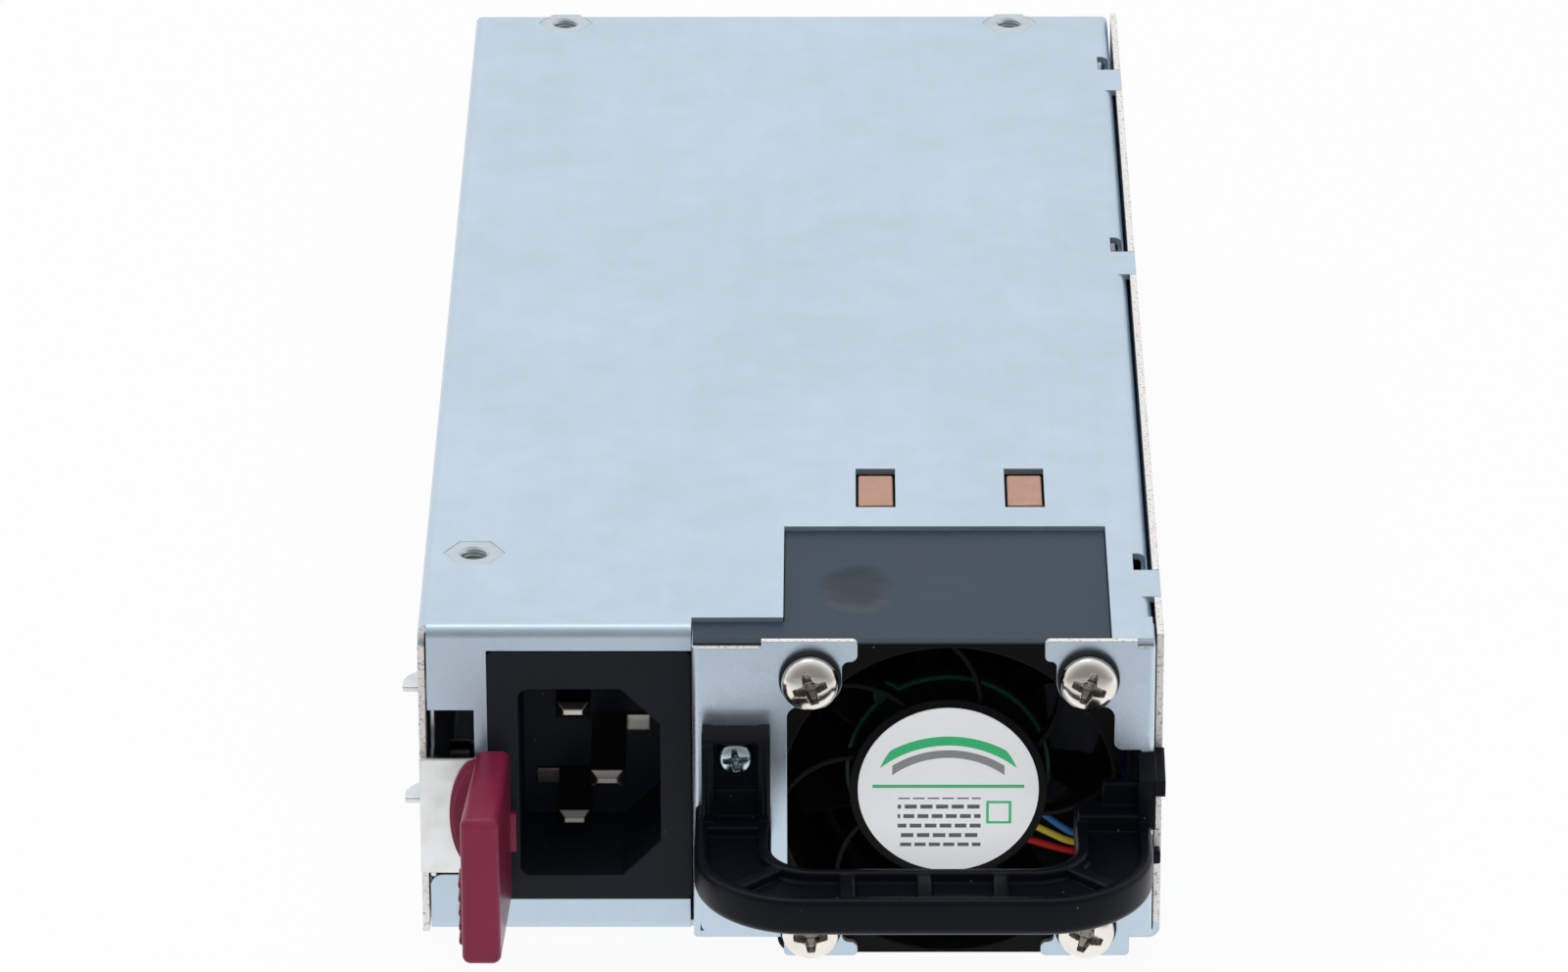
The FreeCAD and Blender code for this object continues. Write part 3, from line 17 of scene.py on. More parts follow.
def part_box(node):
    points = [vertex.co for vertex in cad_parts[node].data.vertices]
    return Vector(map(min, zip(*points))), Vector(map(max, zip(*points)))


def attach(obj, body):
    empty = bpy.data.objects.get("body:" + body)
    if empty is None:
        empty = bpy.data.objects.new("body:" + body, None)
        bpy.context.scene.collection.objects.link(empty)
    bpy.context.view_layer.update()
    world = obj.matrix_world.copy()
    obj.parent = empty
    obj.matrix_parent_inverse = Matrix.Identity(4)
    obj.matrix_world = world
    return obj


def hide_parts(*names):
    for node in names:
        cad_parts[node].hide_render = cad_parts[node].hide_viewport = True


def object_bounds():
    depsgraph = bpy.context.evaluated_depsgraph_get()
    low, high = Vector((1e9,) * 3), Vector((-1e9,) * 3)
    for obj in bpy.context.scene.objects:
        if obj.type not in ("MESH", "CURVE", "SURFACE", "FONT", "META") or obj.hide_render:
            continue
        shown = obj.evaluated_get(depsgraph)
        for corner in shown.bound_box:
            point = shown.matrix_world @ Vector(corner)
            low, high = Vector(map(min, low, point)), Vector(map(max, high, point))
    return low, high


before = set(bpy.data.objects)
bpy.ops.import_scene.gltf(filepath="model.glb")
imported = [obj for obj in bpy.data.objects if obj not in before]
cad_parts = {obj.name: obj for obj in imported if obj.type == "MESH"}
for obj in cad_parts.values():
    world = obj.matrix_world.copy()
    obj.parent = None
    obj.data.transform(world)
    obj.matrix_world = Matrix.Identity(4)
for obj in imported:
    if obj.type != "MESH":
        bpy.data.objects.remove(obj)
cad_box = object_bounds()

bl_info = {
    "name": "Server power supply looks",
    "version": (1, 0, 0),
    "blender": (4, 5, 0),
    "location": "3D View > Sidebar > Supply",
    "description": "Finishes and detailed pieces for a hot swap power supply",
    "category": "Object",
}

MM = 0.001
LEFT, FRONT, UP = (-1, 0, 0), (0, -1, 0), (0, 0, 1)
X_AXIS, Y_AXIS, Z_AXIS = 0, 1, 2
Corner = namedtuple("Corner", "x y z")


def box(node):
    """A node's lowest and highest corners in millimetres."""
    return [Corner(*[value / MM for value in corner]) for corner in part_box(node)]


def tint(red, green, blue):
    """A display colour from 0 to 255 as the linear colour of shaders, each part raised by the sRGB curve."""
    parts = np.array([red, green, blue]) / 255
    linear = np.where(parts <= 0.04045, parts / 12.92, ((parts + 0.055) / 1.055) ** 2.4)
    return (*[float(v) for v in linear], 1.0)


def shaded(colour, factor):
    """A colour made darker or lighter by a factor, up to white."""
    return tuple(min(1.0, c * factor) for c in colour[:3]) + (1.0,)


# ---------------------------------------------------------------- shader maths

class Wire:
    """A socket of a node tree. Arithmetic on it adds the Math nodes."""

    def __init__(self, nodes, socket):
        self.nodes, self.socket = nodes, socket

    def math(self, operation, *others):
        return self.nodes.node("ShaderNodeMath", {"operation": operation}, self, *others)

    def __add__(self, other):
        return self.math("ADD", other)

    def __sub__(self, other):
        return self.math("SUBTRACT", other)

    def __rsub__(self, other):
        return self.nodes.node("ShaderNodeMath", {"operation": "SUBTRACT"}, other, self)

    def __mul__(self, other):
        return self.math("MULTIPLY", other)

    def __truediv__(self, other):
        return self.math("DIVIDE", other)

    def __gt__(self, other):
        return self.math("GREATER_THAN", other)

    def __lt__(self, other):
        return self.math("LESS_THAN", other)

    def __abs__(self):
        return self.math("ABSOLUTE")

    __radd__, __rmul__ = __add__, __mul__

    def within(self, low, high):
        """1 where the wire lies between two values, or else 0."""
        return (self > low) * (self < high)

    def ramp(self, low, high, start=0.0, end=1.0):
        """Follows a smooth S from start, where the wire is low, to end, where it is high."""
        return self.nodes.node("ShaderNodeMapRange", {"interpolation_type": "SMOOTHSTEP"},
                               self, low, high, start, end)


class Nodes:
    """A node tree while it is made."""

    def __init__(self, tree):
        self.tree = tree

    def node(self, kind, settings=None, *inputs, out=0, **named):
        """Any node: its settings first, then its sockets by place or by name, as values or wires."""
        made = self.tree.nodes.new(kind)
        for key, value in (settings or {}).items():
            setattr(made, key, value)
        for key, value in [*enumerate(inputs), *named.items()]:
            if value is not None:
                self.feed(made.inputs[key.replace("_", " ") if isinstance(key, str) else key], value)
        return Wire(self, made.outputs[out])

    def feed(self, socket, value):
        """Links a wire to a socket, or sets the socket to a value."""
        if isinstance(value, Wire):
            self.tree.links.new(value.socket, socket)
        else:
            socket.default_value = value

    def grey(self, value):
        """A colour or vector with the same value in its three parts."""
        return self.node("ShaderNodeCombineXYZ", None, value, value, value)

    def ray(self, *kinds):
        """1 for rays of any of these kinds, such as Camera or Glossy."""
        first, *rest = [self.node("ShaderNodeLightPath", out=f"Is {kind} Ray") for kind in kinds]
        for each in rest:
            first = first.math("MAXIMUM", each)
        return first


class Bench(Nodes):
    """One material while it is made: its nodes, its coordinates and its shader."""

    def __init__(self, name):
        self.material = bpy.data.materials.new(name)
        self.material.use_nodes = True
        super().__init__(self.material.node_tree)
        self.shader = self.tree.nodes["Principled BSDF"]
        self.place = self.node("ShaderNodeTexCoord", out="Object")
        self.x, self.y, self.z = [self.node("ShaderNodeSeparateXYZ", None, self.place, out=k)
                                  for k in (X_AXIS, Y_AXIS, Z_AXIS)]

    def stretched(self, x=1.0, y=1.0, z=1.0):
        """The coordinates with each axis multiplied."""
        return self.node("ShaderNodeVectorMath", {"operation": "MULTIPLY"}, self.place, (x, y, z))

    def noise(self, scale, detail=3.0, vector=None, rough=0.5, out=0):
        """Cloudy noise from 0 to 1, with about scale clouds to the metre."""
        return self.node("ShaderNodeTexNoise", None, Vector=vector or self.place, Scale=scale,
                         Detail=detail, Roughness=rough, out=out)

    def cells(self, scale, vector=None, out="Distance", feature="F1"):
        """Distance to the nearest of scattered points, or a value of each cell."""
        return self.node("ShaderNodeTexVoronoi", {"feature": feature}, Vector=vector or self.place,
                         Scale=scale, out=out)

    def blend(self, factor, first, second, kind="MIX"):
        """A colour between two colours."""
        return self.node("ShaderNodeMix", {"data_type": "RGBA", "blend_type": kind}, factor, None, None, None,
                         None, None, first, second, out=2)

    def marked(self, base, mark):
        """The base with another colour where a mark says so. A mark gives, for a bench, where and which."""
        if mark is None:
            return base
        where, other = mark(self)
        return self.blend(where, base, other)

    def facing(self, axis):
        """How far the surface faces along an axis, from -1 to 1."""
        normal = self.node("ShaderNodeTexCoord", out="Normal")
        return self.node("ShaderNodeSeparateXYZ", None, normal, out=axis)

    def finish(self, colour, roughness, metallic=0.0, height=None, depth=0.0, round_edges=0.0, **others):
        """Puts colour, gloss, relief (height times depth in metres) and rounded edges on the shader."""
        others.update(Base_Color=colour, Roughness=roughness, Metallic=metallic)
        for name, value in others.items():
            self.feed(self.shader.inputs[name.replace("_", " ")], value)
        normal = self.node("ShaderNodeBevel", {"samples": 4}, round_edges) if round_edges else None
        if height is not None:
            normal = self.node("ShaderNodeBump", None, Strength=1.0, Distance=depth, Height=height,
                               Normal=normal)
        if normal is not None:
            self.feed(self.shader.inputs["Normal"], normal)
        return self.material


# ---------------------------------------------------------------- finishes

def zinc_sheet(name, colour, mottle, raw=None, roughness=0.4):
    """Galvanised sheet: faint clouds, crystal spangle, rolling streaks along the case, a few dark pin marks,
    and bare steel where raw says, for a bench, that the sheet is cut."""
    b = Bench(name)
    clouds = b.noise(34.0, 5.0)
    drift = b.noise(120.0, 2.0, out="Color")
    drift = b.node("ShaderNodeVectorMath", {"operation": "SCALE"}, drift, Scale=0.006)
    shifted = b.node("ShaderNodeVectorMath", {"operation": "ADD"}, b.place, drift)
    crystal = b.node("ShaderNodeSeparateColor", None, b.cells(330.0, shifted, "Color"))
    streak = b.noise(1.0, 3.0, b.stretched(700.0, 22.0, 700.0))
    fine = b.noise(1900.0, 2.0)
    patches = b.noise(150.0, 4.0, rough=0.6)
    value = 1 + mottle * ((clouds - 0.5) + 0.9 * (patches - 0.5) + 0.25 * (crystal - 0.5)
                          + 0.3 * (streak - 0.5) + 0.2 * (fine - 0.5))
    base = b.blend(1.0, tuple(colour), b.grey(value), "MULTIPLY")
    picked = b.node("ShaderNodeSeparateColor", None, b.cells(75.0, None, "Color"), out=1)
    pin = (b.cells(75.0) < 0.035) * (picked > 0.93)
    base = b.blend(pin * 0.35, base, tint(96, 100, 104))
    rough = (roughness + 0.1 * (clouds - 0.5) + 0.1 * (patches - 0.5) + 0.06 * (crystal - 0.5)
             + 0.08 * (fine - 0.5))
    if raw:
        cut = raw(b)
        grit = b.noise(2600.0, 3.0).ramp(0.24, 0.5)
        base = b.blend(cut, base, b.blend(grit, tint(164, 150, 142), tint(238, 236, 233)))
        rough = rough + 0.16 * cut
    return b.finish(base, rough, metallic=0.85, height=0.5 * fine + 0.5 * streak, depth=0.004 * MM,
                    round_edges=0.18 * MM)


def moulded(name, colour, roughness=0.45, grain=1400.0, depth=0.008 * MM, shine=0.3, mark=None):
    """Moulded plastic: a fine spark-eroded grain, faint flow marks and specks of pale dust."""
    b = Bench(name)
    flow = b.noise(60.0, 3.0)
    pits = b.noise(grain, 2.0)
    base = b.blend(flow.ramp(0.3, 0.7), shaded(colour, 0.88), shaded(colour, 1.12))
    dust = (b.cells(620.0) < 0.07) * (b.noise(95.0, 2.0) > 0.56)
    base = b.blend(dust * 0.2, base, tint(170, 170, 168))
    return b.finish(b.marked(base, mark), roughness + 0.1 * (pits - 0.5) + 0.1 * (flow - 0.5), height=pits,
                    depth=depth, round_edges=0.3 * MM, Specular_IOR_Level=shine)


def metal(name, colour, roughness=0.25, scratch=0.5, stretch=(1.0, 1.0, 1.0), soft=0.1 * MM, painted_recess_shade=None,
          mark=None):
    """Plated or plain metal: cloudy tarnish, hairline scratches, and painted shade, a dark colour laid into
    the hollows of a screw's cross recess where a point attribute says how deep each point lies.
    """
    b = Bench(name)
    tarnish = b.noise(420.0, 4.0)
    lines = b.noise(1.0, 3.0, b.stretched(*[3200.0 * s for s in stretch]))
    base = b.blend(tarnish.ramp(0.4, 0.8) * 0.5, tuple(colour), shaded(colour, 0.78))
    # Painted shade: a dark colour laid into the screws' cross recesses, standing in for the shade in those
    # hollows.
    if painted_recess_shade:
        recess_shade_mask = b.node("ShaderNodeAttribute", {"attribute_name": "painted_recess_shade"}, out="Fac")
        base = b.blend(recess_shade_mask * (0.6 + 0.4 * tarnish), base, painted_recess_shade)
    return b.finish(b.marked(base, mark), roughness + 0.2 * scratch * (lines - 0.4) + 0.08 * (tarnish - 0.5),
                    metallic=1.0, height=lines, depth=0.004 * MM, round_edges=soft)


# ---------------------------------------------------------------- surfaces

def quads(rows, columns, close_rows=False, close_columns=False):
    """Faces of a grid of points: (r, c) joins (r, c+1), (r+1, c+1) and (r+1, c), and wraps where closed."""
    r, c = np.meshgrid(np.arange(rows - (not close_rows)), np.arange(columns - (not close_columns)),
                       indexing="ij")
    r2, c2 = (r + 1) % rows, (c + 1) % columns
    corners = [r * columns + c, r * columns + c2, r2 * columns + c2, r2 * columns + c]
    return np.stack(corners, -1).reshape(-1, 4)


def piece(name, surfaces, material, body, replaces, sharp, bevel=0.0, segments=2):
    """Joins surfaces of (points, faces) into one mesh object at the origin, riding on a body. Its edges are
    sharp from an angle in degrees. A surface may add a third array, how much painted shade each of its points
    takes; it is kept as a point attribute, which darkens the hollows of screw recesses."""
    start, points, faces, painted_recess_shade = 0, [], [], []
    for p, f, *shade in surfaces:
        points.append(p)
        faces.append(f + start)
        painted_recess_shade.append(shade[0] if shade else np.zeros(len(p)))
        start += len(p)
    mesh = bpy.data.meshes.new(name)
    mesh.from_pydata((np.concatenate(points) * MM).tolist(), [], [x for f in faces for x in f.tolist()])
    # Painted shade: the third arrays become a point attribute that darkens the screws' cross recesses.
    mesh.attributes.new("painted_recess_shade", "FLOAT", "POINT").data.foreach_set("value", np.concatenate(painted_recess_shade))
    work = bmesh.new()
    work.from_mesh(mesh)
    bmesh.ops.remove_doubles(work, verts=work.verts, dist=0.002 * MM)
    bmesh.ops.recalc_face_normals(work, faces=work.faces)
    work.to_mesh(mesh)
    work.free()
    mesh.shade_smooth()
    mesh.set_sharp_from_angle(angle=math.radians(sharp))
    mesh.materials.append(material)
    made = bpy.data.objects.new(name, mesh)
    bpy.context.scene.collection.objects.link(made)
    if bevel:
        cut = made.modifiers.new("Bevel", "BEVEL")
        cut.width, cut.segments = bevel * MM, segments
        cut.limit_method, cut.angle_limit = "ANGLE", math.radians(sharp)
    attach(made, body)
    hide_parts(*replaces)
    return made


def coat(material, *nodes):
    """Gives CAD nodes a material."""
    for node in nodes:
        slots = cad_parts[node].data.materials
        slots.clear()
        slots.append(material)


def crossways(axis, turn=0.0):
    """Two directions square to an axis and to each other, u turned by an angle and v = axis x u."""
    c, s = math.cos(turn), math.sin(turn)
    u = np.array([(0.0, c, s), (c, 0.0, s), (c, s, 0.0)][int(np.argmax(np.abs(axis)))])
    return u, np.cross(axis, u)


def ring_wall(rows, centre, axis, around=72, closed=False):
    """A wall round an axis from rows of (radius, along); a radius may be a function of the angle t.
    P = centre + r(t) cos t u + r(t) sin t v + along axis. Closed joins the last row to the first."""
    u, v = crossways(axis)
    t = np.linspace(0, 2 * math.pi, around, endpoint=False)
    r = np.array([radius(t) if callable(radius) else np.full(around, radius) for radius, along in rows])
    along = np.array([along for radius, along in rows])
    points = (np.array(centre) + (r * np.cos(t))[..., None] * u + (r * np.sin(t))[..., None] * v
              + along[:, None, None] * np.array(axis, float))
    return points.reshape(-1, 3), quads(len(rows), around, closed, True)


def arc(centre_r, centre_a, radius, start, end, steps=5):
    """Rows of a rounded edge, (centre_r + radius cos t, centre_a + radius sin t), t between two angles."""
    t = np.radians(np.linspace(start, end, steps))
    return list(zip(centre_r + radius * np.cos(t), centre_a + radius * np.sin(t)))


def cross_screw(seat, axis, turn, radius, height, recess, depth, shank, length, crown=2.4, steps=88):
    """A screw with a domed head and a cross recess.

    The head is a square grid pressed into a disc, x = u sqrt(1 - vv/2) and y = v sqrt(1 - uu/2), whose lines
    run along the arms of the cross. Its height is h (0.3 + 0.7 sqrt(1 - q^crown)), q being the distance from
    the middle over the radius, less the deeper of two crossed arms and a cone. The rim, the underside and the
    shank are rings of its border drawn in or moved back.
    """
    s = np.linspace(-1, 1, steps)
    u, v = np.meshgrid(s, s, indexing="ij")
    x, y = radius * u * np.sqrt(1 - v * v / 2), radius * v * np.sqrt(1 - u * u / 2)
    q = np.clip(np.hypot(x, y) / radius, 0, 1)

    def arm(a, b):
        reach = np.clip(1 - np.abs(a) / recess, 0, 1)
        half = radius * (0.13 + 0.1 * reach)
        side = np.clip((half - np.abs(b)) / (radius * 0.055), 0, 1)
        return np.minimum(side, np.clip(reach * 8, 0, 1)) * (0.6 + 0.4 * reach ** 0.7)

    cone = np.clip(1.25 - (np.abs(x) + np.abs(y)) / (radius * 0.36), 0, 1)
    sunk = np.maximum(np.maximum(arm(x, y), arm(y, x)), cone)
    up = height * (0.3 + 0.7 * np.sqrt(1 - 0.985 * q ** crown)) - depth * sunk
    first, second = crossways(axis, turn)
    axis, seat = np.array(axis, float), np.array(seat, float)
    head = seat + x[..., None] * first + y[..., None] * second + up[..., None] * axis
    n, count = steps, np.arange(steps)
    border = np.concatenate([count, count[1:] * n + n - 1, (n - 1) * n + count[-2::-1], count[-2:0:-1] * n])
    bx, by, top = x.ravel()[border], y.ravel()[border], up.ravel()[border]
    stem, tip = shank / radius, 0.7 * shank / radius
    scale = np.array([1.0, 1.0, 0.97, stem, stem, tip, 0.0])
    back = np.array([0.0, 0.06 * height, 0.0, 0.0, 0.3 * shank - length, -length, -length])
    rows = (seat + (scale[:, None] * bx)[..., None] * first + (scale[:, None] * by)[..., None] * second
            + back[:, None, None] * axis)
    rows[0] = seat + bx[:, None] * first + by[:, None] * second + top[:, None] * axis
    # The third array is painted shade: how deep each point of the head lies in the cross recess.
    return [(head.reshape(-1, 3), quads(n, n), np.clip(1.6 * sunk - 0.25, 0, 1).ravel()),
            (rows.reshape(-1, 3), quads(len(scale), len(border), False, True))]


def bar(low, high, corner, nose=None, steps=7):
    """A bar along Y with rounded edges, closed at both ends.

    Each section is a rectangle with round corners, c + corner (cos t, sin t). At both ends it is drawn in by
    nose (1 - cos t) while Y runs nose sin t, so that the ends are rounded too.
    """
    nose = corner if nose is None else nose
    low, high = np.array(low, float), np.array(high, float)
    middle, half = (low + high) / 2, (high - low) / 2
    t = np.linspace(0, math.pi / 2, steps)
    pull = np.concatenate([[half[0]], nose * (1 - np.sin(t)), nose * (1 - np.cos(t)), [half[0]]])
    start, end = low[1], high[1]
    y = np.concatenate([[start], start + nose * (1 - np.cos(t)), end - nose * (1 - np.sin(t)), [end]])
    inner = pull < half[0]
    rounding = np.maximum(corner - pull, 0.0) * inner
    cx = np.maximum(half[0] - pull - rounding, 0.0) * inner
    cz = np.maximum(half[2] - pull - rounding, 0.0) * inner
    quarter = np.arange(4)[:, None] * math.pi / 2 + t
    side_x, side_z = np.array([1, -1, -1, 1])[:, None], np.array([1, 1, -1, -1])[:, None]
    cx, cz, rounding = cx[:, None, None], cz[:, None, None], rounding[:, None, None]
    px = middle[0] + side_x * cx + rounding * np.cos(quarter)
    pz = middle[2] + side_z * cz + rounding * np.sin(quarter)
    points = np.stack([px, np.broadcast_to(y[:, None, None], px.shape), pz], -1)
    return points.reshape(-1, 3), quads(len(y), 4 * steps, False, True)


def prism(outline, axis, low, high):
    """An outline of (a, b) pushed along an axis, P = a u + b v + h axis, and closed by two faces."""
    outline = np.array(outline, float)
    n = len(outline)
    points = np.zeros((2, n, 3))
    points[:, :, [k for k in range(3) if k != axis]] = outline
    points[0, :, axis], points[1, :, axis] = low, high
    ends = np.array([np.arange(n)[::-1], n + np.arange(n)])
    points = points.reshape(-1, 3)
    return [(points, quads(2, n, False, True)), (points, ends)]


def between(section, outer, inner):
    """A closed section of (s, z) carried along two paths, P(t) = outer(t) + s (inner(t) - outer(t)), z up."""
    section = np.array(section, float)
    flat = outer[:, None, :] + section[None, :, :1] * (inner - outer)[:, None, :]
    points = np.dstack([flat, np.broadcast_to(section[None, :, 1:], (*flat.shape[:2], 1))])
    n, rows = len(section), len(outer)
    ends = np.array([np.arange(n)[::-1], n * (rows - 1) + np.arange(n)])
    points = points.reshape(-1, 3)
    return [(points, quads(rows, n, False, True)), (points, ends)]


def u_path(x0, x1, front, back, radius, steps=26):
    """A U seen from above: down the left side, a quarter circle (x0 + radius (1 - cos t), front + radius
    (1 - sin t)), straight across, the same quarter mirrored, and up the right side."""
    t = np.linspace(0, math.pi / 2, steps)
    left = np.stack([x0 + radius * (1 - np.cos(t)), front + radius * (1 - np.sin(t))], -1)
    right = np.stack([x1 - radius * (1 - np.cos(t)), left[:, 1]], -1)[::-1]
    middle = np.linspace(left[-1], right[0], 10)[1:-1]
    return np.concatenate([[[x0, back]], left, middle, right, [[x1, back]]])


# ---------------------------------------------------------------- settings

def colour_setting(name, description, *shade):
    return bpy.props.FloatVectorProperty(name=name, description=description, subtype="COLOR", size=4,
                                         default=tint(*shade), min=0, max=1)


def factor_setting(name, description, default, most=1.0):
    return bpy.props.FloatProperty(name=name, description=description, subtype="FACTOR", default=default,
                                   min=0, max=most)


class SheetSettings(bpy.types.PropertyGroup):
    colour: colour_setting("Sheet", "Colour of the galvanised sheet", 192, 208, 222)
    mottle: factor_setting("Mottling", "How strongly the zinc's clouds show", 0.15)


class PlasticSettings(bpy.types.PropertyGroup):
    handle: colour_setting("Handle", "Colour of the moulded handle", 10, 14, 20)
    lever: colour_setting("Lever", "Colour of the latch's lever", 122, 34, 62)
    inlet: colour_setting("Inlet", "Colour of the appliance inlet", 22, 27, 33)
    fan: colour_setting("Fan", "Colour of the fan's frame and rotor", 6, 7, 9)
    label: colour_setting("Label", "Colour of the fan label's paper", 250, 253, 253)
    accent: colour_setting("Label accent", "Colour of the shapes on the fan's label", 54, 190, 124)


class StageSettings(bpy.types.PropertyGroup):
    reach: bpy.props.FloatProperty(
        name="Floor", description="Half the width of the floor", default=3.0, unit="LENGTH")
    key: bpy.props.FloatProperty(
        name="Key light", description="Power of the large lamp overhead", default=8.0, unit="POWER")
    fill: bpy.props.FloatProperty(
        name="Fill light", description="Power of the lamp in front", default=6.5, unit="POWER")
    sky: factor_setting("Sky", "Strength of the even light from all round", 0.5, 2.0)
    front: factor_setting("Dim front", "How bright the room in front is in mirrored light", 0.28)
    lens: bpy.props.FloatProperty(
        name="Lens", description="Focal length of the camera", default=207.2, unit="CAMERA")
    place: bpy.props.FloatVectorProperty(
        name="Camera", description="Place of the camera", default=(0.00520, -1.03391, 0.48611),
        subtype="TRANSLATION", unit="LENGTH")
    yaw: bpy.props.FloatProperty(
        name="Yaw", description="How far the camera turns to the right", default=math.radians(-0.357),
        subtype="ANGLE")
    pitch: bpy.props.FloatProperty(
        name="Pitch", description="How far the camera looks down", default=math.radians(24.575),
        subtype="ANGLE")
    roll: bpy.props.FloatProperty(
        name="Roll", description="How far the camera leans", default=math.radians(0.192), subtype="ANGLE")


# ---------------------------------------------------------------- pieces

class SUPPLY_OT_stage(bpy.types.Operator):
    """Sets the floor, the soft lights and the camera"""
    bl_idname = "supply.stage"
    bl_label = "Stage"

    def execute(self, context):
        s = context.scene.supply_stage
        context.scene.view_settings.view_transform = "Standard"
        self.floor(s.reach)
        self.sky(s.sky, s.front)
        self.lamp("key", s.key, 1.4, (-0.25, 0.15, 1.25), (0, 0, 0))
        self.lamp("fill", s.fill, 1.0, (0.25, -1.35, 0.75), (0, -0.1, 0.02))
        self.camera(s)
        return {"FINISHED"}

    @staticmethod
    def floor(reach):
        """White paper just under the case. It keeps the shadow, shows white to the camera, and in mirrored
        light falls from 1.14 below the case to 0.42 in front of it."""
        low = cad_box[0]
        z = low.z - 0.1 * MM
        mesh = bpy.data.meshes.new("floor")
        corners = [(-reach, -reach, z), (reach, -reach, z), (reach, reach, z), (-reach, reach, z)]
        mesh.from_pydata(corners, [], [(0, 1, 2, 3)])
        floor = bpy.data.objects.new("floor", mesh)
        bpy.context.scene.collection.objects.link(floor)
        b = Bench("floor_paper")
        b.finish((0.92, 0.92, 0.92, 1.0), 0.85 + 0.05 * b.noise(30.0))
        mirrored = b.ray("Glossy")
        ahead = 1 - b.y.ramp(low.y - 150 * MM, low.y + 10 * MM)
        glow = b.node("ShaderNodeEmission", None, b.grey(1 + mirrored * (0.14 - 0.72 * ahead)))
        mix = b.node("ShaderNodeMixShader", None, b.ray("Camera", "Glossy", "Transmission") * 0.93,
                     Wire(b, b.shader.outputs[0]), glow)
        b.feed(b.tree.nodes["Material Output"].inputs[0], mix)
        mesh.materials.append(b.material)

    @staticmethod
    def sky(strength, front):
        """A plain world: white to the camera, even light on the object, and in mirrored light a room that is
        dim in front and has one bright window high behind."""
        world = bpy.data.worlds.new("studio")
        bpy.context.scene.world = world
        world.use_nodes = True
        b = Nodes(world.node_tree)
        way = b.node("ShaderNodeTexCoord", out="Generated")
        behind = b.node("ShaderNodeSeparateXYZ", None, way, out=Y_AXIS)
        window = b.node("ShaderNodeVectorMath", {"operation": "DOT_PRODUCT"}, way,
                        tuple(Vector((-0.15, 0.4, 0.9)).normalized()), out="Value")
        room = behind.ramp(-1.0, 0.3, front, 1.0) + 1.8 * window.ramp(0.955, 0.992)
        seen, glossy = b.ray("Camera", "Transmission"), b.ray("Glossy")
        back = b.tree.nodes["Background"]
        back.inputs["Color"].default_value = (0.985, 0.993, 1.0, 1.0)
        b.feed(back.inputs["Strength"], seen + (1 - seen) * (glossy * room + (1 - glossy) * strength))

    @staticmethod
    def lamp(name, power, size, at, aim):
        """A square soft lamp that mirrors don't show."""
        data = bpy.data.lights.new(name, "AREA")
        data.energy, data.size = power, size
        lamp = bpy.data.objects.new(name, data)
        bpy.context.scene.collection.objects.link(lamp)
        lamp.location = at
        lamp.visible_glossy = False
        lamp.rotation_euler = (Vector(aim) - Vector(at)).to_track_quat("-Z", "Y").to_euler()

    @staticmethod
    def camera(s):
        """The camera looks ahead = (sin yaw cos pitch, cos yaw cos pitch, -sin pitch). Its level right and
        its down are turned about that by the roll."""
        ahead = Vector((math.sin(s.yaw) * math.cos(s.pitch), math.cos(s.yaw) * math.cos(s.pitch),
                        -math.sin(s.pitch)))
        level = Vector((math.cos(s.yaw), -math.sin(s.yaw), 0))
        down = ahead.cross(level)
        right = math.cos(s.roll) * level + math.sin(s.roll) * down
        down = math.cos(s.roll) * down - math.sin(s.roll) * level
        camera = bpy.data.objects.new("camera", bpy.data.cameras.new("camera"))
        bpy.context.scene.collection.objects.link(camera)
        turn = Matrix([right, -down, -ahead]).transposed().to_4x4()
        camera.matrix_world = Matrix.Translation(s.place) @ turn
        camera.data.lens, camera.data.sensor_width = s.lens, 36.0
        camera.data.clip_start, camera.data.clip_end = 0.05, 20.0
        bpy.context.scene.camera = camera


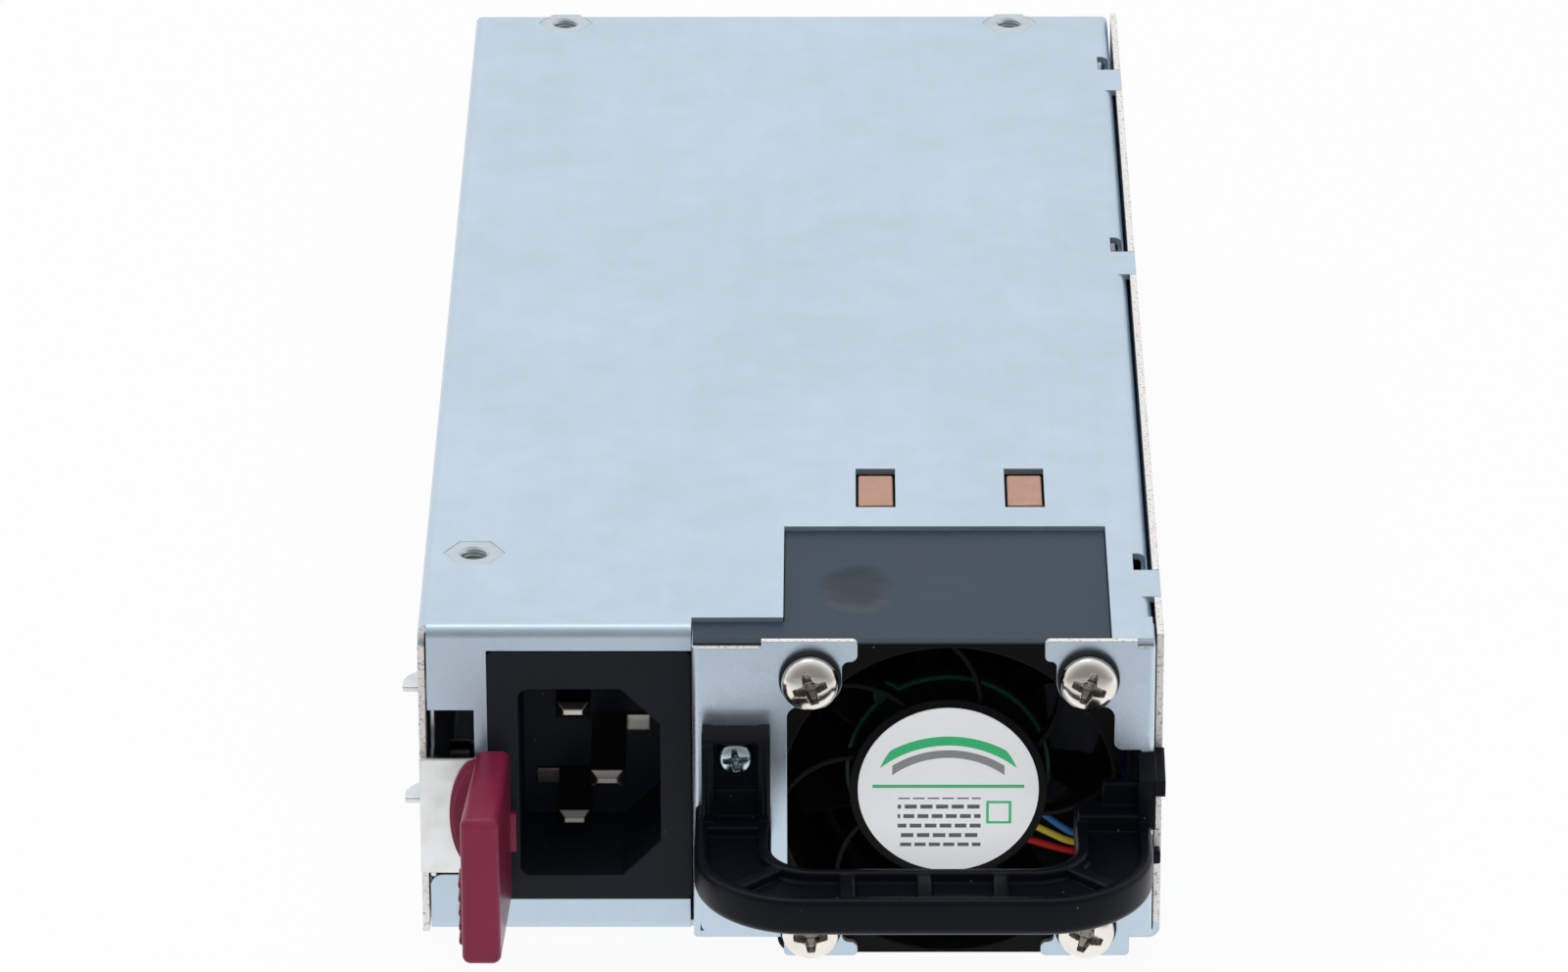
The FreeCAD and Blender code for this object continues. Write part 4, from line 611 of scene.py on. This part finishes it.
class SUPPLY_OT_case(bpy.types.Operator):
    """Finishes the sheets of the case and the fan brackets, and makes the standoffs and the case's screws"""
    bl_idname = "supply.case"
    bl_label = "Case"

    def execute(self, context):
        s = context.scene.supply_sheet
        coat(zinc_sheet("zinc_chassis", s.colour, s.mottle, self.chassis_cut), "chassis")
        coat(zinc_sheet("zinc_cover", s.colour, s.mottle, self.cover_cut), "cover")
        coat(zinc_sheet("zinc_panel", s.colour, s.mottle), "rear_panel")
        coat(zinc_sheet("zinc_bracket", s.colour, s.mottle, self.bracket_cut, 0.3), "fan_bracket_left",
             "fan_bracket_right")

        low, high = box("board_standoffs")
        flat, inset = 3.15, 6.2
        tip = flat / math.cos(math.radians(30))
        left, right, back = low.x + tip, high.x - tip, high.y - flat
        places = [(left, low.y + flat), (left + inset, back), (right, back)]
        hexes = [self.standoff(x, y, low.z, high.z, flat) for x, y in places]
        piece("threaded_standoffs", hexes, metal("zinc_hex", tint(196, 206, 212), 0.32), "root",
              ["board_standoffs"], 28.0)

        steel = metal("steel_screw", tint(190, 188, 182), 0.3)
        low, high = box("cover_screws")
        radius, proud, midway = 2.7, 0.7, 12.0
        middle = (low.z + high.z) / 2
        heads = []
        for y, turn in ((low.y + radius, 0.3), (midway, 1.0), (high.y - radius, 0.1)):
            heads += cross_screw((low.x + proud, y, middle), LEFT, turn, radius, height=proud,
                                 recess=0.75 * radius, depth=0.62, shank=1.5, length=3.8, crown=8.0, steps=56)
        piece("flat_cover_screws", heads, steel, "root", ["cover_screws"], 28.0)
        coat(steel, "board_screws")
        return {"FINISHED"}

    @staticmethod
    def chassis_cut(b):
        """The front edge of the left wall."""
        return (b.facing(Y_AXIS) < -0.8) * (b.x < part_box("chassis")[0].x + 1.0 * MM)

    @staticmethod
    def cover_cut(b):
        """The upper and front edges of the right wall and the lip under the left one."""
        low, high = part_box("cover")
        wall = (abs(b.facing(X_AXIS)) < 0.5) * (b.x > high.x - 1.2 * MM) * (b.z > low.z + 2 * MM)
        lip = (b.facing(Z_AXIS) > 0.7) * (b.x < low.x + 1.2 * MM)
        return wall.math("MAXIMUM", lip)

    @staticmethod
    def bracket_cut(b):
        """The edges of the fan's front plates."""
        return (b.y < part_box("fan_bracket_left")[0].y + 0.8 * MM) * (abs(b.facing(Y_AXIS)) < 0.4)

    @staticmethod
    def standoff(x, y, bottom, top, flat):
        """A clinched standoff as one closed wall: six flats on top, r = flat / cos(t') with t' the angle from
        the nearest flat, a round stem, and a bore whose radius follows a thread,
        r = 1.42 + 0.28 |fraction(t / 2 pi + depth / pitch) - 0.5|."""
        def six(grow):
            return lambda t: (flat + grow) / np.cos((t % (math.pi / 3)) - math.pi / 6)

        def thread(depth, pitch=0.5):
            return lambda t: 1.42 + 0.28 * np.abs((t / (2 * math.pi) + depth / pitch) % 1 - 0.5)

        bore = [(thread(depth), -depth) for depth in np.arange(0.3, top - bottom, 0.083)]
        mouth, stem, foot, brim = 1.85, 2.4, 1.6, -0.8
        rows = [(mouth, 0.0), (six(-0.12), 0.0), (six(0.0), -0.1), (six(0.0), brim), (stem, brim),
                (stem, bottom - top), (foot, bottom - top), *bore[::-1]]
        return ring_wall(rows, (x, y, top), UP, around=96, closed=True)


class SUPPLY_OT_inlet(bpy.types.Operator):
    """Finishes the appliance inlet, its blades and its leads"""
    bl_idname = "supply.inlet"
    bl_label = "Appliance inlet"

    def execute(self, context):
        inlet = context.scene.supply_plastic.inlet
        coat(moulded("inlet_plastic", inlet, 0.5, shine=0.15), "ac_inlet_body")
        # The lower blades carry painted shade.
        coat(metal("blade_nickel", tint(186, 182, 174), 0.24, soft=0.3 * MM, mark=self.lower_blade_shade), "inlet_blades")
        coat(metal("tinned_wire", tint(190, 188, 184), 0.3), "inlet_leads")
        return {"FINISHED"}

    @staticmethod
    def lower_blade_shade(b):
        """Painted shade: the lower blades are darkened, standing in for the shadow deep in the socket."""
        low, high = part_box("inlet_blades")
        middle = (low.z + high.z) / 2
        return 0.75 * (1 - b.z.ramp(middle, middle + 2 * MM)), tint(70, 70, 68)


class SUPPLY_OT_handle(bpy.types.Operator):
    """Makes the moulded handle, with its pocket, ribs, pad and hooked foot, and its screw"""
    bl_idname = "supply.handle"
    bl_label = "Handle"

    def execute(self, context):
        low, high = box("handle")
        g = SimpleNamespace(
            low=low, high=high, x0=low.x, x1=high.x - 1.6, front=low.y, back=high.y - 1.7,
            bottom=low.z + 3.4, top=low.z + 8.1, pad_top=high.z, wide=8.8, deep=8.6)
        g.floor = g.top - 1.35
        outer = u_path(g.x0, g.x1, g.front, g.back, 12.5)
        inner = u_path(g.x0 + g.wide, g.x1 - g.wide, g.front + g.deep, g.back, 5.5)
        loop = between(self.section(g), outer, inner)
        plastic = moulded("handle_plastic", context.scene.supply_plastic.handle, 0.3, 1800.0, 0.004 * MM, 0.1)
        piece("moulded_handle", loop + self.blocks(g) + self.hooks(g) + self.ribs(g), plastic, "root",
              ["handle"], 30.0)

        low, high = box("handle_screw")
        seat = ((low.x + high.x) / 2, low.y + 1.3, (low.z + high.z) / 2 + 0.5)
        screw = cross_screw(seat, FRONT, 0.1, 2.2, height=1.6, recess=1.45, depth=0.9, shank=1.5, length=5)
        # The screw's cross recess gets painted shade in a dark blue grey.
        piece("handle_pan_screw", screw, metal("blue_zinc", tint(196, 216, 226), 0.2, painted_recess_shade=tint(70, 84, 92)),
              "root", ["handle_screw"], 28.0)
        return {"FINISHED"}

    @staticmethod
    def section(g):
        """The channel of the loop across its width: a floor between two rims, with every edge rounded."""
        rim, under, over, inside = 1.5, 1.3, 0.55, 0.35
        half = np.array(arc(under, g.bottom + under, under, 270, 180, 7)
                        + arc(over, g.top - over, over, 180, 90, 6)
                        + arc(rim - inside, g.top - inside, inside, 90, 0, 5)
                        + [(rim, g.floor + 0.25), (rim + 0.25, g.floor)])
        other = half[::-1] * (-1, 1) + (g.wide, 0)
        return np.concatenate([half, other]) / (g.wide, 1)

    @staticmethod
    def ribs(g):
        """Three ribs along the front of the pocket and one across each of its corners."""
        half, foot, crest = 0.9, g.floor - 0.5, g.top - 0.2
        ribs = []
        for k in (1, 2, 3):
            x = g.x0 + g.wide + (g.x1 - g.x0 - 2 * g.wide) * k / 4
            ribs.append(bar((x - half, g.front + 0.7, foot), (x + half, g.front + g.deep - 0.7, crest), 0.3))
        for x, side in ((g.x0 + g.wide, 1), (g.x1 - g.wide, -1)):
            points, faces = bar((-half, -8.0, foot), (half, -0.6, crest), 0.3)
            turn = np.array(Matrix.Rotation(-side * math.pi / 4, 3, "Z"))
            ribs.append((points @ turn.T + (x + side * 1.5, g.front + g.deep + 1.5, 0), faces))
        return ribs

    @staticmethod
    def blocks(g):
        """The square parts as rounded bars: the pad, the heels, the foot and, last, its small outer hook."""
        pad0, pad1, root, back = g.x0 + 0.8, g.x0 + 8.7, g.bottom + 2, g.back
        wall, web, hook = 1.4, g.bottom + 1.0, g.low.z + 0.7
        ledge, crest, heel = g.pad_top - 0.75, g.pad_top - 0.08, g.floor - 0.5
        spans = [
            (pad0 + 0.3, pad1 - 0.3, back - 2.0, back, root, g.pad_top - 0.3),         # face of the pad
            (pad0 + 0.4, pad1 - 0.4, back - 2.6, back, root, g.top + 3.4),             # its thick lower part
            (pad0, pad0 + wall, back - 4.2, back, root, g.pad_top),                    # its left wall
            (pad1 - wall, pad1, back - 4.2, back, root, g.pad_top),                    # its right wall
            (pad0 + 0.6, pad1 - 0.6, back - 4.1, back - 0.1, ledge, crest),            # its ledge
            (g.x0 + 0.5, g.x0 + g.wide - 0.5, back - 5.5, back, heel, g.top - 0.1),    # left heel
            (g.x1 - g.wide + 0.4, g.x1 - 0.5, back - 4.2, back, heel, g.top + 0.7),    # right heel
            (g.x1 - 5.6, g.x1 - 1.0, back - 1.4, back, g.top - 1.0, g.top + 3.5),      # plate of the foot
            (g.x1 - 2.0, g.x1 + 0.45, back - 1.5, back, g.low.z + 0.9, web),           # web below the loop
            (g.x1 + 0.3, g.high.x - 0.3, back - 0.6, g.high.y - 0.5, hook, hook + 1.6)]
        for edge, inwards in ((pad0, 1), (pad1, -1)):    # ridges on the pad's walls
            for step in (0.4, 0.9):
                x = edge + inwards * step
                spans.append((x - 0.1, x + 0.1, back - 4.34, back - 4.0, g.top + 1.0, g.pad_top - 1.0))
        return [bar((x0, y0, z0), (x1, y1, z1), 0.08 if x1 - x0 < 0.3 else 0.25, steps=5)
                for x0, x1, y0, y1, z0, z1 in spans]

    @staticmethod
    def hooks(g):
        """The foot's side wall and the hook outside the case: sloped outlines of (y, z) pushed along X."""
        nose, lip, inside, root = g.back - 4.4, g.top + 5.2, g.x1 + 0.5, g.top - 1.0
        wall = [(nose, root), (nose, lip), (g.back, g.top + 6.9), (g.back, root)]
        nose -= 0.02
        hook = [(nose, g.top + 3.3), (nose, lip), (g.back, g.top + 6.3), (g.high.y, g.top + 6.6),
                (g.high.y, g.top + 3.3)]
        return prism(wall, X_AXIS, g.x1 - 1.45, inside) + prism(hook, X_AXIS, inside - 0.05, g.high.x)


class SUPPLY_OT_fan(bpy.types.Operator):
    """Makes the fan's screws and grommets and finishes its frame, rotor, label, film, stator and leads"""
    bl_idname = "supply.fan"
    bl_label = "Fan"

    def execute(self, context):
        s = context.scene.supply_plastic
        coat(moulded("fan_plastic", s.fan, 0.4, shine=0.1), "fan_frame", "fan_rotor")
        coat(self.label(s.label, s.accent), "fan_label")
        coat(moulded("stator_green", tint(8, 44, 31), 0.35, shine=0.25), "fan_stator_board")
        coat(metal("winding", tint(170, 92, 52), 0.4), "fan_stator")
        coat(moulded("magnet", tint(52, 52, 54), 0.55), "fan_magnet")
        coat(metal("steel", tint(180, 180, 178), 0.22), "fan_shaft", "fan_bearings")
        coat(self.film(), "fan_film")
        coat(moulded("white_plug", tint(226, 224, 214), 0.5), "fan_plug", "fan_header")
        for colour, shade in (("red", (178, 28, 32)), ("yellow", (206, 184, 60)), ("blue", (52, 104, 170))):
            coat(moulded("lead_" + colour, tint(*shade), 0.4, 900.0), "fan_lead_" + colour)

        low, high = box("fan_frame")
        grommet_low, grommet_high = box("fan_grommets")
        x, z, spread = (low.x + high.x) / 2, (low.z + high.z) / 2, 16.0
        screws, bushes = [], []
        for side_x, side_z, turn in ((-1, 1, 0.3), (1, 1, -0.35), (-1, -1, 0.05), (1, -1, -0.35)):
            at = (x + side_x * spread, grommet_low.y, z + side_z * spread)
            screws += cross_screw(at, FRONT, turn, 3.3, height=2.3, recess=2.0, depth=1.3, shank=1.5,
                                  length=12)
            bushes.append(self.grommet(at, grommet_high.y - grommet_low.y))
        # The screws' cross recesses get painted shade in a brownish dark.
        nickel = metal("nickel", tint(232, 228, 220), 0.16, 0.3, painted_recess_shade=tint(66, 50, 38))
        piece("fan_pan_screws", screws, nickel, "root", ["fan_screws"], 28.0)
        piece("rubber_grommets", bushes, moulded("grommet_rubber", tint(20, 21, 24), 0.55, shine=0.3), "root",
              ["fan_grommets"], 40.0)
        return {"FINISHED"}

    @staticmethod
    def grommet(at, depth):
        """A flanged bush as one closed wall: a flange with a round lip, a sleeve and a bore."""
        flange, sleeve, bore, lip, rounding = 3.6, 2.1, 1.7, 0.9, 0.3
        edge = flange - rounding
        rows = arc(edge, -rounding, rounding, 90, 0) + arc(edge, rounding - lip, rounding, 0, -90)
        rows += [(sleeve, -lip), (sleeve, -depth), (bore, -depth), (bore, 0.0)]
        return ring_wall(rows, at, FRONT, closed=True)

    @staticmethod
    def label(paper, accent):
        """A paper disc with plain shapes, in u and v from -1 to 1 across it: a swept band in the accent over
        a grey one, a rule, rows of short dashes and an empty box."""
        low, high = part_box("fan_label")
        radius = (high.x - low.x) / 2
        b = Bench("label_paper")
        u, v = (b.x - (low.x + high.x) / 2) / radius, (b.z - (low.z + high.z) / 2) / radius
        far = (u * u + v * v).math("SQRT")
        grey, ink, accent = tint(140, 142, 146), tint(84, 86, 92), tuple(accent)
        sweep = (v + 0.62) * (v + 0.62) + u * u
        band = sweep.within(1.35, 1.62) * (far < 0.8)
        grey_band = sweep.within(1.02, 1.22) * (abs(u) < 0.62)
        rule = v.within(0.02, 0.06) * (abs(u) < 0.84)
        rows, line = (v * 8.5).math("FRACT"), (v * 8.5).math("FLOOR")
        dashes = (u * (5.5 + (line * 0.37).math("FRACT")) + line * 0.61).math("FRACT")
        text = v.within(-0.7, -0.1) * (rows < 0.42) * (abs(u + 0.1) < 0.46) * (dashes < 0.78)
        outline = u.within(0.42, 0.7) * v.within(-0.42, -0.14) - u.within(0.45, 0.67) * v.within(-0.39, -0.17)
        colour = b.blend(band, tuple(paper), accent)
        for where, shade in ((grey_band, grey), (rule, accent), (text, ink), (outline, accent)):
            colour = b.blend(where, colour, shade)
        fibre = b.noise(900.0, 3.0)
        return b.finish(colour, 0.4 + 0.1 * fibre, height=fibre, depth=0.003 * MM, round_edges=0.1 * MM,
                        Coat_Weight=0.1)

    @staticmethod
    def film():
        """Slate film: soft waves, one oval dent in its relief with painted shade inside it, and a painted
        shadow along its front edge.
        """
        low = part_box("fan_film")[0]
        b = Bench("slate_film")
        waves = b.noise(26.0, 2.0, b.stretched(1.0, 0.5, 1.0))
        fine = b.noise(700.0, 2.0)
        u, v = (b.x - (low.x + 18.9 * MM)) / (4.4 * MM), (b.y - (low.y + 14.4 * MM)) / (6.4 * MM)
        dent_and_shade = 1 - (u * u + v * v + 0.5 * (b.noise(220.0) - 0.5)).ramp(0.0, 1.2)
        # Painted shadow: a darker band along the film's front edge.
        edge = b.y.within(low.y - 1 * MM, low.y + 1.2 * MM)
        base = b.blend(waves.ramp(0.3, 0.7), tint(43, 57, 70), tint(49, 64, 78))
        base = b.blend(edge * 0.5, base, tint(34, 42, 52))
        # Painted shade inside the dent; the same mask also sinks the dent in the relief.
        base = b.blend(dent_and_shade * 0.6, base, tint(26, 34, 42))
        height = waves - 0.25 * dent_and_shade + 0.01 * fine
        return b.finish(base, 0.34 + 0.08 * (fine - 0.5), height=height, depth=1 * MM, round_edges=0.2 * MM,
                        Specular_IOR_Level=0.1)


class SUPPLY_OT_latch(bpy.types.Operator):
    """Makes the latch's leaf, its rivets and its coloured lever"""
    bl_idname = "supply.latch"
    bl_label = "Latch"

    def execute(self, context):
        self.leaf()
        low, high = box("latch_rivets")
        radius, edge, neck, hole, collar, end = 2.4, 0.5, 1.2, -2.2, 2.2, -2.9
        dome = [(0.0, edge), (0.9, edge - 0.02), *arc(radius - edge, -0.1, edge, 80, 0), (radius, -0.35),
                (neck, -0.35), (neck, hole), (collar, hole), (collar, end + 0.2), (collar - 0.3, end),
                (0.0, end)]
        dome = [(r, along - 0.15) for r, along in dome]
        heads = [ring_wall(dome, (low.x + 0.35, (low.y + high.y) / 2, z), LEFT, around=56)
                 for z in (low.z + radius, high.z - radius)]
        piece("latch_rivet_heads", heads, metal("steel_rivet", tint(172, 168, 160), 0.35), "root",
              ["latch_rivets"], 30.0)
        self.lever(context.scene.supply_plastic.lever)
        return {"FINISHED"}

    @staticmethod
    def leaf():
        """The spring: a turned plate in front, a long leaf with a raised part, and two barbs that ramp up
        from the leaf as t^1.7."""
        low, high = box("latch_spring")
        outside, thick, back = low.x + 2, 0.6, high.y
        x0, x1, end = outside + 1.1, outside + 1.7, high.x - 1.3
        crest, start = low.z + 14.8, low.y + 0.3
        leaf = [(start, low.z), (back, low.z), (back, crest), (low.y + 27, crest), (low.y + 17, high.z),
                (low.y + 5, high.z), (low.y + 5, crest), (start, crest)]
        plate = [(outside, low.z + 0.6), (end, low.z + 0.6), (end, low.z + 15.4), (outside, low.z + 15.4)]
        parts = prism(leaf, X_AXIS, x0, x1) + prism(plate, Y_AXIS, low.y, low.y + thick)
        t = np.linspace(0, 1, 8)
        ramp = np.stack([low.x + (x0 - low.x) * t ** 1.7, low.y + 7 + 4 * t], -1)
        barb = np.concatenate([[[x0, low.y + 5.4], [low.x, low.y + 5.4]], ramp])
        for z in (low.z + 7.0, low.z + 21.4):
            parts += prism(barb, Z_AXIS, z, z + 0.7)
        steel = metal("spring_steel", tint(224, 227, 227), 0.3, 0.6, (1.0, 0.1, 1.0), 0.3 * MM)
        piece("latch_leaf", parts, steel, "latch", ["latch_spring"], 30.0, bevel=0.12)

    @staticmethod
    def lever(colour):
        """The lever: a rounded upright blade that leans to the right and thins towards its oval base, with
        grip ribs low on its left face and a stop tab on its right. With y from its front,
        x' = x + y (0.045 + 0.035 (right - x) / wide), and z' = z + 0.035 y towards its top."""
        low, high = box("latch_lever")
        reach, height, wide, stop = 17.8, 18.5, 4.5, 6.3
        left, front, bottom = low.x + 1.9, low.y, low.z
        right, back = left + wide, front + reach
        blade, faces = bar((left, front, bottom), (right, back - 0.05, bottom + height), 1.0, 0.9, 9)
        upper = np.clip((blade[:, 2] - bottom) / height * 2 - 1, 0, 1)
        blade[:, 2] += (blade[:, 1] - front) * 0.035 * upper
        blade[:, 0] += (blade[:, 1] - front) * (0.045 + 0.035 * (right - blade[:, 0]) / wide)

        def oval(size):
            """An ellipse of half width 0.46 size and half height 0.96 size."""
            return lambda t: size / np.hypot(np.cos(t) / 0.46, np.sin(t) / 0.96)

        steps = [(7.5, 0.0), (7.5, 0.5), (7.35, 0.7), (6.7, 0.75), (6.55, 1.0), (6.4, 1.1)]
        base = ring_wall([(0.0, 0.0), *[(oval(size), along) for size, along in steps], (0.0, 1.1)],
                         (low.x + 3.47, back, bottom + 10.6), FRONT, around=96)
        ribs = [bar((left - 0.35, front + 2, bottom + 1.6 + 1.8 * k),
                    (left + 0.5, front + 6, bottom + 2.5 + 1.8 * k), 0.3, 0.3, 5) for k in range(5)]
        tab = bar((right - 0.6, back - 1.4, bottom + stop), (high.x, back - 0.2, bottom + stop + 4.9), 0.2)
        piece("release_lever", [(blade, faces), base, tab] + ribs,
              moulded("maroon_plastic", colour, 0.3, 700.0, shine=0.22), "latch",
              ["latch_lever"], 40.0)


class SUPPLY_OT_board(bpy.types.Operator):
    """Finishes the board and the parts on it, and makes the two copper bridges"""
    bl_idname = "supply.board"
    bl_label = "Board and its parts"

    def execute(self, context):
        for name, shade, roughness, mark, nodes in (
                ("board_green", (26, 84, 58), 0.35, self.traces, ["main_board", "control_board"]),
                ("clear_film", (206, 206, 196), 0.3, None, ["board_insulator"]),
                ("grey_box", (116, 118, 116), 0.45, None, ["x_capacitor"]),
                ("blue_epoxy", (40, 92, 150), 0.35, None, ["y_capacitors"]),
                ("ceramic", (224, 218, 204), 0.5, self.caps, ["fuse_link"]),
                ("black_parts", (40, 40, 42), 0.45, None, ["relay", "bridge_rectifier"]),
                ("sleeve", (44, 46, 74), 0.3, self.stripe, ["bulk_capacitor", "output_capacitors"]),
                ("ferrite", (54, 52, 52), 0.6, None, ["transformer_core", "boost_choke_core",
                                                      "filter_choke_core", "output_choke"]),
                ("yellow_tape", (214, 186, 78), 0.45, self.wraps, ["transformer_winding"])):
            coat(moulded(name, tint(*shade), roughness, mark=mark), *nodes)
        coat(metal("gold", tint(214, 176, 96), 0.25), "edge_contacts")
        coat(metal("tin_bar", tint(196, 192, 186), 0.35), "output_bus_bar", "power_transistors")
        coat(metal("aluminium", tint(188, 190, 192), 0.35, 0.8, (1.0, 0.02, 1.0)), "primary_heatsink",
             "secondary_heatsink")
        coat(metal("wire_copper", tint(176, 96, 52), 0.35), "output_choke_turns", "boost_choke_winding",
             "filter_choke_winding")
        self.bridges()
        return {"FINISHED"}

    @staticmethod
    def traces(b):
        """Paler copper runs that show through the board's lacquer."""
        return b.cells(420.0, feature="DISTANCE_TO_EDGE") < 0.03, tint(52, 116, 84)

    @staticmethod
    def caps(b):
        """Tinned caps on both ends of the fuse."""
        low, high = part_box("fuse_link")
        return abs(b.y - (low.y + high.y) / 2) > 0.34 * (high.y - low.y), tint(190, 188, 182)

    @staticmethod
    def stripe(b):
        """The pale stripe down one side of a capacitor's sleeve."""
        return b.facing(X_AXIS) > 0.9, tint(168, 172, 182)

    @staticmethod
    def wraps(b):
        """Edges of the tape's turns."""
        return (b.z * 420).math("FRACT") < 0.07, tint(168, 140, 48)

    @staticmethod
    def bridges():
        """Two bridges of flat copper that rise into the case's windows: arches of (y, z) pushed along X."""
        low, high = box("copper_straps")
        top, thick, wide = box("chassis")[1].z - 0.15, 0.8, 4.2
        y0, y1, z0 = low.y + 0.6, high.y, low.z
        arch = [(y0, z0), (y0, top), (y1, top), (y1, z0), (y1 - thick, z0), (y1 - thick, top - thick),
                (y0 + thick, top - thick), (y0 + thick, z0)]
        pair = prism(arch, X_AXIS, low.x, low.x + wide) + prism(arch, X_AXIS, high.x - wide, high.x)
        copper = metal("copper", tint(190, 149, 130), 0.38, 0.8, (1.0, 0.05, 1.0))
        piece("copper_bridges", pair, copper, "root", ["copper_straps"], 30.0, 0.25, segments=3)


class SUPPLY_PT_panel(bpy.types.Panel):
    """Lists the settings and the operators"""
    bl_idname = "SUPPLY_PT_panel"
    bl_label = "Server power supply"
    bl_space_type = "VIEW_3D"
    bl_region_type = "UI"
    bl_category = "Supply"

    def draw(self, context):
        for name, group in GROUPS.items():
            for key in group.__annotations__:
                self.layout.prop(getattr(context.scene, name), key)
        for operator in OPERATORS:
            self.layout.operator(operator.bl_idname)


OPERATORS = (SUPPLY_OT_stage, SUPPLY_OT_case, SUPPLY_OT_inlet, SUPPLY_OT_handle, SUPPLY_OT_fan,
             SUPPLY_OT_latch, SUPPLY_OT_board)
GROUPS = {"supply_sheet": SheetSettings, "supply_plastic": PlasticSettings, "supply_stage": StageSettings}


def register():
    for each in (*GROUPS.values(), *OPERATORS, SUPPLY_PT_panel):
        bpy.utils.register_class(each)
    for name, group in GROUPS.items():
        setattr(bpy.types.Scene, name, bpy.props.PointerProperty(type=group))


def unregister():
    for name in GROUPS:
        delattr(bpy.types.Scene, name)
    for each in reversed((*GROUPS.values(), *OPERATORS, SUPPLY_PT_panel)):
        bpy.utils.unregister_class(each)


def main():
    register()
    for operator in OPERATORS:
        group, name = operator.bl_idname.split(".")
        getattr(getattr(bpy.ops, group), name)()


if __name__ == "__main__":
    main()
